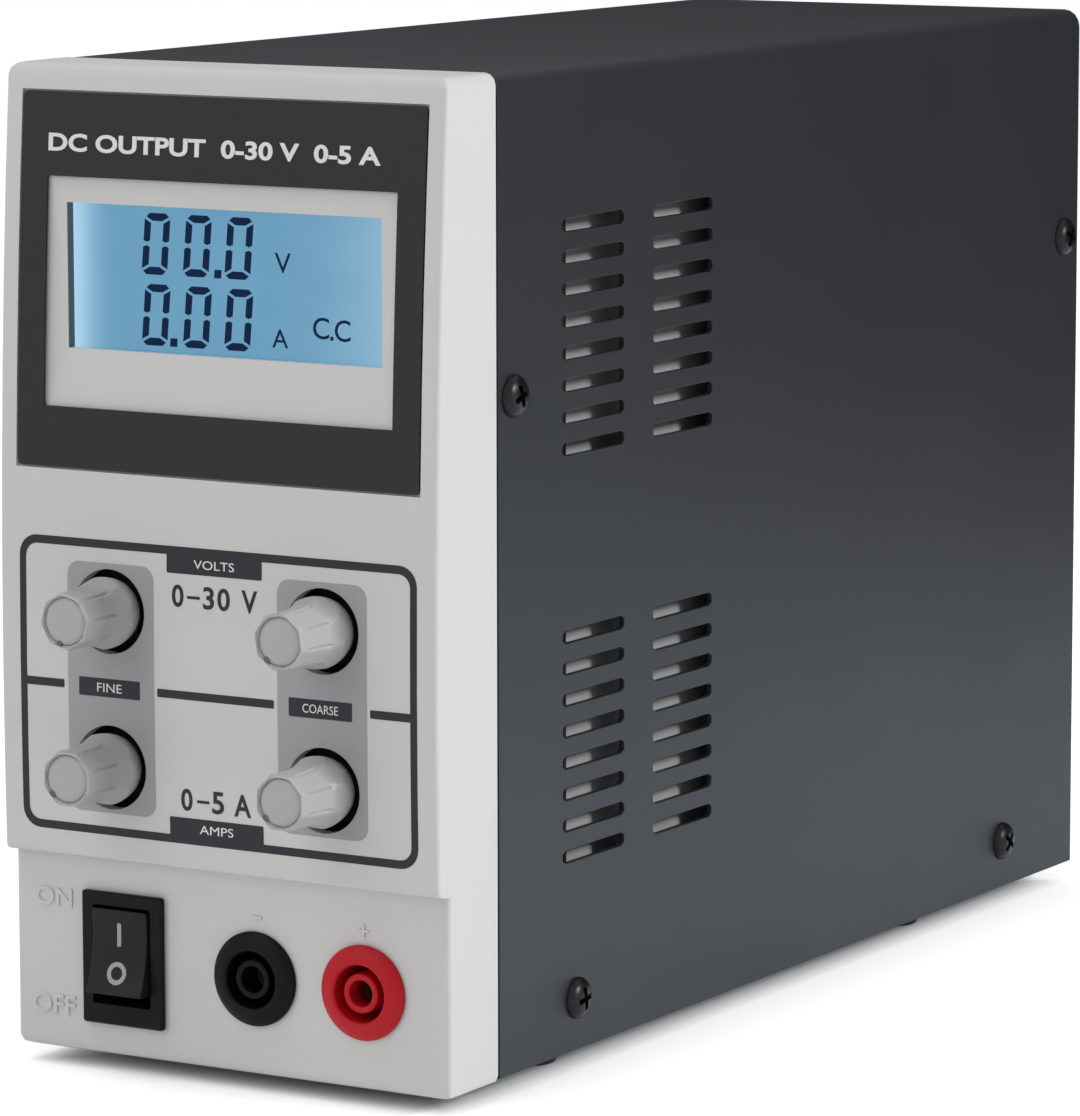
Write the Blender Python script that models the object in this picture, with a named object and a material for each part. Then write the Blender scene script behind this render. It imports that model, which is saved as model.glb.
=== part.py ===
"""Slim bench power supply with a blue number display, four knobs and two safety sockets.

Lengths are millimetres. X runs to the right, Y to the back and Z up. Inside this file y is
measured from the front edge of the metal cover and z from the underside of the case; one
empty carries every piece and sets the finished model in metres on its feet.
"""
import math

import bmesh
import bpy
from mathutils import Vector, geometry

MM = 0.001

# Case
CASE_WIDTH = 80.0
CASE_HEIGHT = 154.0
COVER_LENGTH = 200.0
SHEET = 1.0
BASE_SHEET = 1.2
BEND_RADIUS = 3.0
LIP_HEIGHT = 14.0
REAR_FLANGE = 12.0
FOOT_HEIGHT = 3.5
FOOT_DIAMETER = 10.0
FOOT_INSET = 10.5
FRONT_FOOT_Y = 26.0
REAR_FOOT_SETBACK = 50.0

# Front panel moulding
PANEL_DEPTH = 14.4
PANEL_WALL = 2.2
PANEL_SEAM = 0.5
STEP_HEIGHT = 31.0
BULGE = 3.3
BULGE_HEIGHT = 60.0
BULGE_RADIUS = 1150.0
EDGE_ROUND = 1.9
CORNER_ROUND = 0.7
STEP_ROUND = 0.9
BOTTOM_ROUND = 1.4
PANEL_DROP = 0.7
LUG_ROOT = 6.0
LUG_THICKNESS = 3.5
LUG_MARGIN = 4.2
HOOK_WIDTH = 8.0
HOOK_SPACING = 52.0
HOOK_REACH = 9.0
HOOK_THICKNESS = 3.0
POST_DIAMETER = 5.2

# Display
LABEL_MARGIN = 3.4
LABEL_DROP = 4.3
LABEL_HEIGHT = 57.7
LABEL_THICKNESS = 0.4
WINDOW_WIDTH = 63.6
WINDOW_HEIGHT = 35.4
WINDOW_DROP = 17.2
LCD_WIDTH = 57.2
LCD_HEIGHT = 22.5
LCD_DROP = 21.2
LCD_RECESS = 0.6
LCD_SHELF = 1.1
SHELF_MARGIN = 2.0
GLASS_MARGIN_X = 2.2
GLASS_MARGIN_Z = 2.7
GLASS_THICKNESS = 1.8
TRAY_MARGIN_X = 3.2
TRAY_MARGIN_Z = 4.2
TRAY_ROOM = 1.0
BACKLIGHT_THICKNESS = 6.4
CLIP_SPACING = 36.0
CLIP_WIDTH = 8.0
CLIP_THICKNESS = 1.0
BOARD_THICKNESS = 1.6
BOARD_MARGIN_X = 5.5
BOARD_MARGIN_TOP = 7.0
BOARD_MARGIN_BOTTOM = 5.0
BOARD_HOLE_INSET = 3.0
BOARD_HOLE = 3.2

# Knobs and potentiometers
KNOB_SPACING_X = 39.0
KNOB_LOW_Z = 45.8
KNOB_HIGH_Z = 70.2
KNOB_HOLE = 13.3
KNOB_BASE = 11.1
KNOB_TIP = 8.8
KNOB_REACH = 12.0
KNOB_SUNK = 1.4
KNOB_FACETS = 8
CAP_DIAMETER = 6.6
SHAFT_DIAMETER = 6.0
POT_WIDTH = 11.6
POT_DEPTH = 6.4
POT_NOSE = 2.6

# Rocker switch
SWITCH_X = -19.3
SWITCH_Z = 15.0
SWITCH_WIDTH = 15.0
SWITCH_HEIGHT = 21.0
SWITCH_BODY_WIDTH = 12.6
SWITCH_BODY_HEIGHT = 18.8
SWITCH_BODY_DEPTH = 13.0
SWITCH_RIM = 1.0
WELL_WIDTH = 10.8
WELL_HEIGHT = 16.9
ROCKER_THROW = 18.0
PIVOT_DEPTH = 4.1
ROCKER_PROUD = 0.8
ROCKER_END_GAP = 1.25
PIVOT_DIAMETER = 2.4
BLADE_PITCH = 7.0
BLADE_LENGTH = 7.0
BLADE_WIDTH = 4.8
SOLDER_BLADE = 0.8

# Output sockets
BLACK_SOCKET_X = 5.0
RED_SOCKET_X = 24.7
SOCKET_Z = 14.6
SOCKET_FLANGE = 14.9
SOCKET_RIM = 1.6
SOCKET_BODY = 11.6
SOCKET_LENGTH = 20.4
SHROUD_BORE = 8.9
SLEEVE_DIAMETER = 6.2
PLUG_BORE = 4.0
CONTACT_DIAMETER = 4.6
CONTACT_TAIL = 7.0
CONTACT_SUNK = 4.5
NUT_ACROSS_FLATS = 15.0
NUT_THICKNESS = 3.5

# Side vents and case screws
SLOT_LENGTH = 19.3
SLOT_HEIGHT = 2.1
SLOT_PITCH = 4.94
SLOT_ROWS = 8
SLOT_COLUMN_PITCH = 28.2
SLOT_FIRST_Y = 28.6
LOWER_VENT_Z = 31.2
UPPER_VENT_Z = 95.0
SCREW_HEAD = 6.6
SCREW_HEAD_HEIGHT = 1.5
SCREW_SHANK = 2.9
SCREW_LENGTH = 4.6
FRONT_SCREW_Y = 4.4
FRONT_SCREW_Z = 104.9
REAR_SCREW_SETBACK = 5.8
REAR_SCREW_Z = 114.0
LOW_SCREW_Z = 8.3
LOW_FRONT_SCREW_Y = 23.3
LOW_REAR_SCREW_SETBACK = 28.0

# Fan
FAN_SIZE = 60.0
FAN_THICKNESS = 20.0
FAN_DROP = 42.0
FAN_BORE = 57.6
FAN_HOLE_PITCH = 50.0
HUB_DIAMETER = 26.0
BLADE_COUNT = 7
BLADE_SPAN = 56.0
BLADE_THICKNESS = 1.2
BEARING_DIAMETER = 8.0
FAN_SHAFT = 3.0
GRILLE_RINGS = 5
GRILLE_PITCH = 5.0
GRILLE_SLOT = 2.8
GRILLE_BRIDGE = 3.2

# Mains inlet and its fuse drawer
INLET_Z = 41.0
INLET_FLANGE_WIDTH = 31.0
INLET_FLANGE_RIM = 2.0
INLET_BODY_WIDTH = 27.6
INLET_BODY_DEPTH = 20.0
CAVITY_WIDTH = 24.4
CAVITY_HEIGHT = 16.8
CAVITY_DEPTH = 16.0
PIN_PITCH = 14.0
DRAWER_WIDTH = 23.0
DRAWER_HEIGHT = 7.4
DRAWER_DEPTH = 16.0
DRAWER_WALL = 1.0
FUSE_DIAMETER = 5.0
FUSE_LENGTH = 20.0

# Boards and power parts inside
STANDOFF_HEIGHT = 6.5
STANDOFF_DIAMETER = 6.0
MAIN_BOARD_MARGIN = 6.0
MAIN_BOARD_FRONT = 14.0
MAIN_BOARD_REAR_GAP = 30.0
SINK_WALL_GAP = 4.5
SINK_PLATE = 2.0
SINK_FIN = 8.0
SINK_FINS = 7
SINK_FRONT = 29.4
SINK_LENGTH = 60.0
SINK_TOP_GAP = 20.0
TRANSFORMER_WIDTH = 36.0
TRANSFORMER_HEIGHT = 34.0
TRANSFORMER_DEPTH = 26.0
TRANSFORMER_GAP = 2.0
CORE_DEPTH = 12.0
CORE_LEG = 6.0
CORE_WINDOW = 8.0
CAPACITOR_DIAMETER = 25.0
CAPACITOR_HEIGHT = 40.0
CAPACITOR_X = -10.0
CAPACITOR_REAR_GAP = 8.0
SMALL_CAPACITOR = 10.0
SMALL_CAPACITOR_HEIGHT = 20.0
TERMINAL_SETBACK = 10.0
TERMINAL_WIDTH = 16.0
TERMINAL_DEPTH = 9.0
TERMINAL_X = 6.0
TERMINAL_RISE = 5.0
LEAD_DIAMETER = 2.4
LEAD_SPACING = 8.0

# Gaps between pieces that touch
GAP = 0.3
MERGE = 1e-4


def face_y(z):
    """Front of the bulged upper panel at a height."""
    return -(PANEL_DEPTH + BULGE) + (z - BULGE_HEIGHT) ** 2 / (2 * BULGE_RADIUS)


# Places that several pieces share
HALF = CASE_WIDTH / 2
INNER_HALF = HALF - SHEET - GAP
LABEL_TOP = CASE_HEIGHT - LABEL_DROP
LABEL_BOTTOM = LABEL_TOP - LABEL_HEIGHT
WINDOW_TOP = CASE_HEIGHT - WINDOW_DROP
WINDOW_BOTTOM = WINDOW_TOP - WINDOW_HEIGHT
LCD_TOP = CASE_HEIGHT - LCD_DROP
LCD_BOTTOM = LCD_TOP - LCD_HEIGHT
LCD_EDGE_Y = face_y(WINDOW_TOP) + LCD_RECESS
GLASS_Y = LCD_EDGE_Y + LCD_SHELF + GAP
BACKLIGHT_Y = GLASS_Y + GLASS_THICKNESS + GAP
FRONT_BOARD_Y = BACKLIGHT_Y + BACKLIGHT_THICKNESS + GAP
FRONT_BOARD_HALF = HALF - BOARD_MARGIN_X
FRONT_BOARD_BOTTOM = STEP_HEIGHT + BOARD_MARGIN_BOTTOM
FRONT_BOARD_TOP = CASE_HEIGHT - BOARD_MARGIN_TOP
POST_PLACES = [(side * (FRONT_BOARD_HALF - BOARD_HOLE_INSET), z) for side in (-1, 1)
               for z in (FRONT_BOARD_BOTTOM + BOARD_HOLE_INSET, FRONT_BOARD_TOP - BOARD_HOLE_INSET)]
KNOB_TIP_Y = -(PANEL_DEPTH + BULGE + KNOB_REACH)
KNOB_BASE_Y = -(PANEL_DEPTH + BULGE) + KNOB_SUNK
POT_Y = FRONT_BOARD_Y - GAP - POT_DEPTH
SHAFT_FRONT_Y = KNOB_TIP_Y + 3.6
SHAFT_BACK_Y = POT_Y + POT_DEPTH - 2.0
SWITCH_FRONT_Y = -PANEL_DEPTH - GAP - SWITCH_RIM
PIVOT_Y = SWITCH_FRONT_Y + PIVOT_DEPTH
SOCKET_FRONT_Y = -PANEL_DEPTH - GAP - SOCKET_RIM
SOCKET_BACK_Y = -PANEL_DEPTH - GAP + SOCKET_LENGTH
CONTACT_BACK_Y = SOCKET_BACK_Y + CONTACT_TAIL
REAR_FACE_Y = COVER_LENGTH - SHEET
REAR_PLATE_Y = REAR_FACE_Y - BASE_SHEET
FAN_REAR_Y = REAR_PLATE_Y - GAP
FAN_FRONT_Y = FAN_REAR_Y - FAN_THICKNESS
FAN_Z = CASE_HEIGHT - FAN_DROP
INLET_FRONT_Y = REAR_FACE_Y + GAP
INLET_REAR_Y = INLET_FRONT_Y + INLET_FLANGE_RIM
DRAWER_Z = INLET_Z - CAVITY_HEIGHT / 2 - 2.2 - DRAWER_HEIGHT / 2
INLET_TOP = INLET_Z + CAVITY_HEIGHT / 2 + 1.6
INLET_BOTTOM = DRAWER_Z - DRAWER_HEIGHT / 2 - 1.6
MAIN_BOARD_Z = BASE_SHEET + STANDOFF_HEIGHT + GAP
MAIN_BOARD_TOP = MAIN_BOARD_Z + BOARD_THICKNESS
MAIN_BOARD_HALF = HALF - MAIN_BOARD_MARGIN
MAIN_BOARD_REAR = COVER_LENGTH - MAIN_BOARD_REAR_GAP
PART_Z = MAIN_BOARD_TOP + GAP
SINK_OUTER = HALF - SHEET - SINK_WALL_GAP
SINK_TOP = CASE_HEIGHT - SINK_TOP_GAP
TERMINAL_Y = MAIN_BOARD_FRONT + TERMINAL_SETBACK
FRONT_REACH = -KNOB_TIP_Y
REAR_REACH = INLET_REAR_Y
CENTRE_SHIFT = (FRONT_REACH - REAR_REACH) / 2

for old in list(bpy.data.objects):
    bpy.data.objects.remove(old, do_unlink=True)

frame = bpy.data.objects.new("supply_frame", None)
frame.location = (0, CENTRE_SHIFT * MM, FOOT_HEIGHT * MM)
bpy.context.scene.collection.objects.link(frame)


def material(name, colour, roughness, metallic=0.0):
    """Principled material with the piece's own colour and finish."""
    made = bpy.data.materials.new(name)
    made.use_nodes = True
    shader = made.node_tree.nodes["Principled BSDF"]
    shader.inputs["Base Color"].default_value = (*colour, 1.0)
    shader.inputs["Roughness"].default_value = roughness
    shader.inputs["Metallic"].default_value = metallic
    return made


GREY_PLASTIC = material("grey_plastic", (0.52, 0.52, 0.51), 0.5)
KNOB_PLASTIC = material("knob_plastic", (0.60, 0.60, 0.59), 0.45)
LABEL_FOIL = material("label_foil", (0.035, 0.035, 0.038), 0.45)
LCD_GLASS = material("lcd_glass", (0.20, 0.45, 0.66), 0.15)
PAINTED_STEEL = material("painted_steel", (0.06, 0.062, 0.07), 0.55)
PLAIN_STEEL = material("plain_steel", (0.55, 0.55, 0.56), 0.35, 1.0)
BLACK_STEEL = material("black_steel", (0.02, 0.02, 0.022), 0.35, 0.6)
BLACK_PLASTIC = material("black_plastic", (0.015, 0.015, 0.016), 0.35)
RED_PLASTIC = material("red_plastic", (0.48, 0.01, 0.02), 0.35)
WHITE_PLASTIC = material("white_plastic", (0.80, 0.80, 0.78), 0.5)
BRASS = material("brass", (0.72, 0.55, 0.28), 0.3, 1.0)
RUBBER = material("rubber", (0.02, 0.02, 0.02), 0.85)
CIRCUIT_BOARD = material("circuit_board", (0.04, 0.17, 0.07), 0.5)
ALUMINIUM = material("aluminium", (0.72, 0.73, 0.74), 0.4, 1.0)
FERRITE = material("ferrite", (0.06, 0.06, 0.06), 0.6)
SLEEVE_FILM = material("capacitor_sleeve", (0.03, 0.04, 0.10), 0.3)
FUSE_GLASS = material("fuse_glass", (0.80, 0.82, 0.80), 0.1)


def box(x0, x1, y0, y1, z0, z1):
    """Plain block between two corners."""
    bm = bmesh.new()
    bmesh.ops.create_cube(bm, size=1.0)
    for v in bm.verts:
        v.co.x = x1 if v.co.x > 0 else x0
        v.co.y = y1 if v.co.y > 0 else y0
        v.co.z = z1 if v.co.z > 0 else z0
    return bm


def loft(rings, closed=False):
    """Skin over rings that hold the same number of points, with flat ends unless closed."""
    bm = bmesh.new()
    made = [[bm.verts.new(p) for p in ring] for ring in rings]
    count = len(made[0])
    pairs = list(zip(made, made[1:]))
    if closed:
        pairs.append((made[-1], made[0]))
    for low, high in pairs:
        for i in range(count):
            j = (i + 1) % count
            bm.faces.new((low[i], low[j], high[j], high[i]))
    if not closed:
        bm.faces.new(made[0])
        bm.faces.new(list(reversed(made[-1])))
    return bm


def prism(outline, axis, low, high):
    """Outline pushed along one axis; the two outline numbers are the other axes in order."""
    def point(a, b, c):
        return {"X": (c, a, b), "Y": (a, c, b), "Z": (a, b, c)}[axis]
    return loft([[point(a, b, c) for a, b in outline] for c in (low, high)])


def turned(profile, sides, axis, centre=(0, 0)):
    """Closed profile of (radius, along) pairs turned about an axis through centre."""
    rings = []
    for i in range(sides):
        angle = 2 * math.pi * i / sides
        ring = []
        for radius, along in profile:
            a = centre[0] + radius * math.cos(angle)
            b = centre[1] + radius * math.sin(angle)
            ring.append({"X": (along, a, b), "Y": (a, along, b), "Z": (a, b, along)}[axis])
        rings.append(ring)
    bm = loft(rings, closed=True)
    bmesh.ops.remove_doubles(bm, verts=bm.verts, dist=MERGE)
    loose = [e for e in bm.edges if not e.link_faces]
    bmesh.ops.delete(bm, geom=loose, context="EDGES")
    return bm


def rod(radius, sides, axis, low, high, centre=(0, 0)):
    """Round bar along an axis."""
    circle = [(centre[0] + radius * math.cos(2 * math.pi * i / sides),
               centre[1] + radius * math.sin(2 * math.pi * i / sides)) for i in range(sides)]
    return prism(circle, axis, low, high)


def rounded(width, height, radius, steps=3, centre=(0, 0)):
    """Rectangle outline with round corners."""
    points = []
    for corner in range(4):
        cx = (width / 2 - radius) * (1, -1, -1, 1)[corner]
        cy = (height / 2 - radius) * (1, 1, -1, -1)[corner]
        for step in range(steps + 1):
            angle = math.pi / 2 * (corner + step / steps)
            points.append((centre[0] + cx + radius * math.cos(angle),
                           centre[1] + cy + radius * math.sin(angle)))
    return points


def slot(length, height, centre, steps=3):
    """Long hole outline with half-round ends."""
    points = []
    for end in (0, 1):
        for step in range(steps + 1):
            angle = math.pi * (end + step / steps) - math.pi / 2
            shift = (length - height) / 2 * (1 - 2 * end)
            points.append((centre[0] + shift + height / 2 * math.cos(angle),
                           centre[1] + height / 2 * math.sin(angle)))
    return points


def together(parts):
    """Several separate shapes in one mesh, for one cut or one join."""
    whole = bmesh.new()
    for part in parts:
        mesh = bpy.data.meshes.new("shape")
        part.to_mesh(mesh)
        part.free()
        whole.from_mesh(mesh)
        bpy.data.meshes.remove(mesh)
    return whole


def make(name, bm, finish, at=(0, 0, 0)):
    """Turn a shape into a piece whose origin lies at the given place."""
    bmesh.ops.recalc_face_normals(bm, faces=bm.faces)
    bmesh.ops.translate(bm, vec=-Vector(at), verts=bm.verts)
    bmesh.ops.scale(bm, vec=(MM, MM, MM), verts=bm.verts)
    mesh = bpy.data.meshes.new(name)
    bm.to_mesh(mesh)
    bm.free()
    mesh.shade_smooth()
    mesh.set_sharp_from_angle(angle=math.radians(32))
    if finish:
        mesh.materials.append(finish)
    piece = bpy.data.objects.new(name, mesh)
    piece.parent = frame
    piece.location = Vector(at) * MM
    bpy.context.scene.collection.objects.link(piece)
    return piece


def change(piece, shape, operation):
    """Cut a shape from a piece or join it on, and keep the shape as a hidden guide."""
    at = piece.location / MM
    step = len(piece.modifiers) + 1
    guide = make(f"{piece.name}_{operation.lower()}_{step}", shape, None, at)
    guide.hide_render = True
    guide.display_type = "WIRE"
    modifier = piece.modifiers.new(f"{operation.lower()}_{step}", "BOOLEAN")
    modifier.operation = operation
    modifier.solver = "EXACT"
    modifier.object = guide


def cut(piece, *shapes):
    for shape in shapes:
        change(piece, shape, "DIFFERENCE")


def join(piece, *shapes):
    for shape in shapes:
        change(piece, shape, "UNION")


def panel_section(z, front, half, corner, back, steps):
    """Level outline of the panel: square at the back, round at both front corners."""
    left = []
    for step in range(steps + 1):
        angle = math.pi / 2 * step / steps
        left.append((-half + corner * (1 - math.cos(angle)), front + corner * (1 - math.sin(angle)), z))
    right = [(-x, y, z) for x, y, z in reversed(left)]
    return [(-half, back, z)] + left + right + [(half, back, z)]


def panel_body(inset, bottom, back, spans, steps):
    """Outer skin of the front panel, or its hollow when inset by the wall."""
    half = HALF - inset
    lower = -PANEL_DEPTH + inset
    step_z = STEP_HEIGHT + inset
    corner = max(CORNER_ROUND - inset, 0.2)
    bottom_round = max(BOTTOM_ROUND - inset, 0.2)
    step_round = max(STEP_ROUND - inset, 0.2)
    high_round = max(EDGE_ROUND - inset, 0.2)
    top = CASE_HEIGHT - inset
    rings = []
    for turn in range(3):
        angle = math.pi / 4 * turn
        tuck = bottom_round * (1 - math.sin(angle))
        rings.append(panel_section(bottom + bottom_round * (1 - math.cos(angle)), lower + tuck, half - tuck,
                                   corner, back, steps))
    rings.append(panel_section(step_z - GAP, lower, half, corner, back, steps))
    for turn in range(3):
        angle = math.pi / 4 * turn
        tuck = step_round * (1 - math.sin(angle))
        z = step_z + step_round * (1 - math.cos(angle))
        rings.append(panel_section(z, face_y(z) + inset + tuck, half, corner, back, steps))
    rise = step_z + step_round
    for span in range(1, spans):
        z = rise + (top - high_round - rise) * span / spans
        rings.append(panel_section(z, face_y(z) + inset, half, corner, back, steps))
    for turn in range(4):
        angle = math.pi / 6 * turn
        tuck = high_round * (1 - math.cos(angle))
        z = top - high_round * (1 - math.sin(angle))
        rings.append(panel_section(z, face_y(z) + inset + tuck, half - tuck, corner, back, steps))
    return loft(rings)


def face_slab(half, bottom, top, front_depth, back_depth=None, back_y=None, spans=6):
    """Sheet or block that follows the bulged face, from one depth below it to another."""
    rings = []
    for span in range(spans + 1):
        z = bottom + (top - bottom) * span / spans
        near = face_y(z) + front_depth
        far = face_y(z) + back_depth if back_y is None else back_y
        rings.append([(-half, near, z), (half, near, z), (half, far, z), (-half, far, z)])
    return loft(rings)


def window_funnel():
    """Sloped surround that leads from the label opening down to the display."""
    pocket = LABEL_THICKNESS + GAP
    outer = []
    inner = []
    for sx, outer_z, inner_z in ((-1, WINDOW_BOTTOM, LCD_BOTTOM), (1, WINDOW_BOTTOM, LCD_BOTTOM),
                                 (1, WINDOW_TOP, LCD_TOP), (-1, WINDOW_TOP, LCD_TOP)):
        outer.append(Vector((sx * WINDOW_WIDTH / 2, face_y(outer_z) + pocket, outer_z)))
        inner.append(Vector((sx * LCD_WIDTH / 2, LCD_EDGE_Y, inner_z)))
    past = [o + (o - i) * 0.5 for o, i in zip(outer, inner)]
    through = [i + Vector((0, 4 * LCD_SHELF, 0)) for i in inner]
    return loft([past, inner, through])


def front_panel():
    """Moulded front: hollow shell with a bulged upper face, a lower ledge and fixing lugs."""
    panel = make("front_panel", panel_body(0.0, -PANEL_DROP, -PANEL_SEAM, 8, 3), GREY_PLASTIC)
    cut(panel, panel_body(PANEL_WALL, PANEL_WALL, 1.0, 4, 1))
    shelf = face_slab(WINDOW_WIDTH / 2 + SHELF_MARGIN, WINDOW_BOTTOM - SHELF_MARGIN,
                      WINDOW_TOP + SHELF_MARGIN, PANEL_WALL / 2, back_y=LCD_EDGE_Y + LCD_SHELF)
    posts = [rod(POST_DIAMETER / 2, 12, "Y", face_y(z) + PANEL_WALL / 2, FRONT_BOARD_Y - GAP, (x, z))
             for x, z in POST_PLACES]
    lugs = []
    for side in (-1, 1):
        x0, x1 = sorted((side * (INNER_HALF - LUG_THICKNESS), side * INNER_HALF))
        lugs.append(box(x0, x1, -LUG_ROOT, FRONT_SCREW_Y + LUG_MARGIN, FRONT_SCREW_Z - LUG_MARGIN,
                        FRONT_SCREW_Z + LUG_MARGIN))
        middle = side * HOOK_SPACING / 2
        lugs.append(box(middle - HOOK_WIDTH / 2, middle + HOOK_WIDTH / 2, -LUG_ROOT, HOOK_REACH,
                        BASE_SHEET + GAP, BASE_SHEET + GAP + HOOK_THICKNESS))
    join(panel, shelf, together(posts), together(lugs))
    half = LCD_WIDTH / 2 + TRAY_MARGIN_X + TRAY_ROOM
    rise = TRAY_MARGIN_Z + TRAY_ROOM
    cut(panel, box(-half, half, LCD_EDGE_Y + LCD_SHELF, FRONT_BOARD_Y, LCD_BOTTOM - rise, LCD_TOP + rise))
    cut(panel, face_slab(HALF - LABEL_MARGIN + GAP, LABEL_BOTTOM - GAP, LABEL_TOP + GAP, -3.0,
                         LABEL_THICKNESS + GAP))
    cut(panel, window_funnel())
    holes = [rod(KNOB_HOLE / 2, 24, "Y", KNOB_TIP_Y, -PANEL_DEPTH + PANEL_WALL, (x, z))
             for x, z in knob_places().values()]
    holes.append(prism(rounded(SWITCH_BODY_WIDTH + 2 * GAP, SWITCH_BODY_HEIGHT + 2 * GAP, 0.8, 2,
                               (SWITCH_X, SWITCH_Z)), "Y", -PANEL_DEPTH - 2.0, -PANEL_DEPTH + 4.0))
    for x in (BLACK_SOCKET_X, RED_SOCKET_X):
        holes.append(rod(SOCKET_BODY / 2 + GAP, 16, "Y", -PANEL_DEPTH - 2.0, -PANEL_DEPTH + 4.0,
                         (x, SOCKET_Z)))
    holes.append(rod(SCREW_SHANK / 2 + GAP, 10, "X", -HALF - 5, HALF + 5, (FRONT_SCREW_Y, FRONT_SCREW_Z)))
    cut(panel, together(holes))


def display_label():
    """Dark printed foil that follows the bulge, with the display opening cut out."""
    foil = face_slab(HALF - LABEL_MARGIN, LABEL_BOTTOM, LABEL_TOP, 0.0, LABEL_THICKNESS)
    label = make("display_label", foil, LABEL_FOIL)
    cut(label, prism(rounded(WINDOW_WIDTH, WINDOW_HEIGHT, 0.8, 2, (0, (WINDOW_TOP + WINDOW_BOTTOM) / 2)),
                     "Y", KNOB_TIP_Y, 0.0))


def display_module():
    """Glass cell of the display, the backlight tray behind it and the board that carries both."""
    middle = (LCD_TOP + LCD_BOTTOM) / 2
    glass = rounded(LCD_WIDTH + 2 * GLASS_MARGIN_X, LCD_HEIGHT + 2 * GLASS_MARGIN_Z, 0.6, 2, (0, middle))
    make("lcd_glass", prism(glass, "Y", GLASS_Y, GLASS_Y + GLASS_THICKNESS), LCD_GLASS)
    tall = LCD_HEIGHT / 2 + TRAY_MARGIN_Z
    outline = rounded(LCD_WIDTH + 2 * TRAY_MARGIN_X, 2 * tall, 1.2, 2, (0, middle))
    tray = make("lcd_backlight", prism(outline, "Y", BACKLIGHT_Y, BACKLIGHT_Y + BACKLIGHT_THICKNESS),
                WHITE_PLASTIC)
    clips = []
    for x in (-CLIP_SPACING / 2, CLIP_SPACING / 2):
        for side in (-1, 1):
            z0, z1 = sorted((middle + side * (tall - 0.2), middle + side * (tall - 0.2 - CLIP_THICKNESS)))
            clips.append(box(x - CLIP_WIDTH / 2, x + CLIP_WIDTH / 2, GLASS_Y + GLASS_THICKNESS / 3,
                             BACKLIGHT_Y + CLIP_THICKNESS, z0, z1))
    join(tray, together(clips))
    sheet = rounded(2 * FRONT_BOARD_HALF, FRONT_BOARD_TOP - FRONT_BOARD_BOTTOM, 1.5, 2,
                    (0, (FRONT_BOARD_TOP + FRONT_BOARD_BOTTOM) / 2))
    back = FRONT_BOARD_Y + BOARD_THICKNESS
    board = make("front_board", prism(sheet, "Y", FRONT_BOARD_Y, back), CIRCUIT_BOARD)
    cut(board, together([rod(BOARD_HOLE / 2, 10, "Y", FRONT_BOARD_Y - 1, back + 1, place)
                         for place in POST_PLACES]))


def knob_places():
    """Four control axes: voltage above current, fine at the left and coarse at the right."""
    x = KNOB_SPACING_X / 2
    return {"voltage_fine": (-x, KNOB_HIGH_Z), "voltage_coarse": (x, KNOB_HIGH_Z),
            "current_fine": (-x, KNOB_LOW_Z), "current_coarse": (x, KNOB_LOW_Z)}


def knob_ring(radius, y, flat, place, sides=24):
    """One level of the knob: round when flat is 0, eight flats when it is 1."""
    ring = []
    half_facet = math.pi / KNOB_FACETS
    for i in range(sides):
        angle = 2 * math.pi * i / sides
        from_middle = (angle % (2 * half_facet)) - half_facet
        facet = math.cos(half_facet) / math.cos(from_middle)
        r = radius * (1 + flat * (facet - 1))
        ring.append((place[0] + r * math.cos(angle), y, place[1] + r * math.sin(angle)))
    return ring


def knob(name, place):
    """Tapered grip with eight flats that run out into a round skirt, bored for its shaft."""
    base = KNOB_BASE / 2
    tip = KNOB_TIP / 2
    length = KNOB_BASE_Y - KNOB_TIP_Y
    bore = SHAFT_DIAMETER / 2 + GAP
    seat = CAP_DIAMETER / 2 + GAP
    rings = []
    for part, radius, flat in ((0.0, base - 0.1, 0), (0.16, base, 0),
                               (0.32, base + (tip - base) * 0.55, 0.7), (0.60, tip + (base - tip) * 0.2, 1),
                               (0.96, tip, 1), (1.0, tip - 0.3, 1)):
        rings.append(knob_ring(radius, KNOB_BASE_Y - length * part, flat, place))
    rings.append(knob_ring(seat, KNOB_TIP_Y, 0, place))
    rings.append(knob_ring(seat, KNOB_TIP_Y + 0.9, 0, place))
    grip = make(name, loft(rings), KNOB_PLASTIC, (place[0], KNOB_BASE_Y, place[1]))
    cut(grip, rod(bore, 12, "Y", SHAFT_FRONT_Y - GAP, KNOB_BASE_Y + 2.0, place))


def control(name, place):
    """One adjuster: knob, its cap, the turning shaft and the potentiometer on the front board."""
    knob(f"knob_{name}", place)
    cap = CAP_DIAMETER / 2
    cap_back = KNOB_TIP_Y + 0.6
    disc = [(0, cap_back), (cap, cap_back), (cap, KNOB_TIP_Y + 0.2), (0, KNOB_TIP_Y)]
    make(f"knob_cap_{name}", turned(disc, 12, "Y", place), KNOB_PLASTIC, (place[0], cap_back, place[1]))
    shaft = SHAFT_DIAMETER / 2
    make(f"pot_shaft_{name}", rod(shaft, 12, "Y", SHAFT_FRONT_Y, SHAFT_BACK_Y, place), PLAIN_STEEL,
         (place[0], SHAFT_BACK_Y, place[1]))
    can = rounded(POT_WIDTH, POT_WIDTH, 1.5, 1, place)
    pot = make(f"pot_{name}", prism(can, "Y", POT_Y, POT_Y + POT_DEPTH), PLAIN_STEEL)
    join(pot, rod(shaft + GAP + 1.0, 12, "Y", POT_Y - POT_NOSE, POT_Y + 1.0, place))
    cut(pot, rod(shaft + GAP + 0.1, 12, "Y", POT_Y - POT_NOSE - 2.0, SHAFT_BACK_Y + GAP, place))


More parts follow.
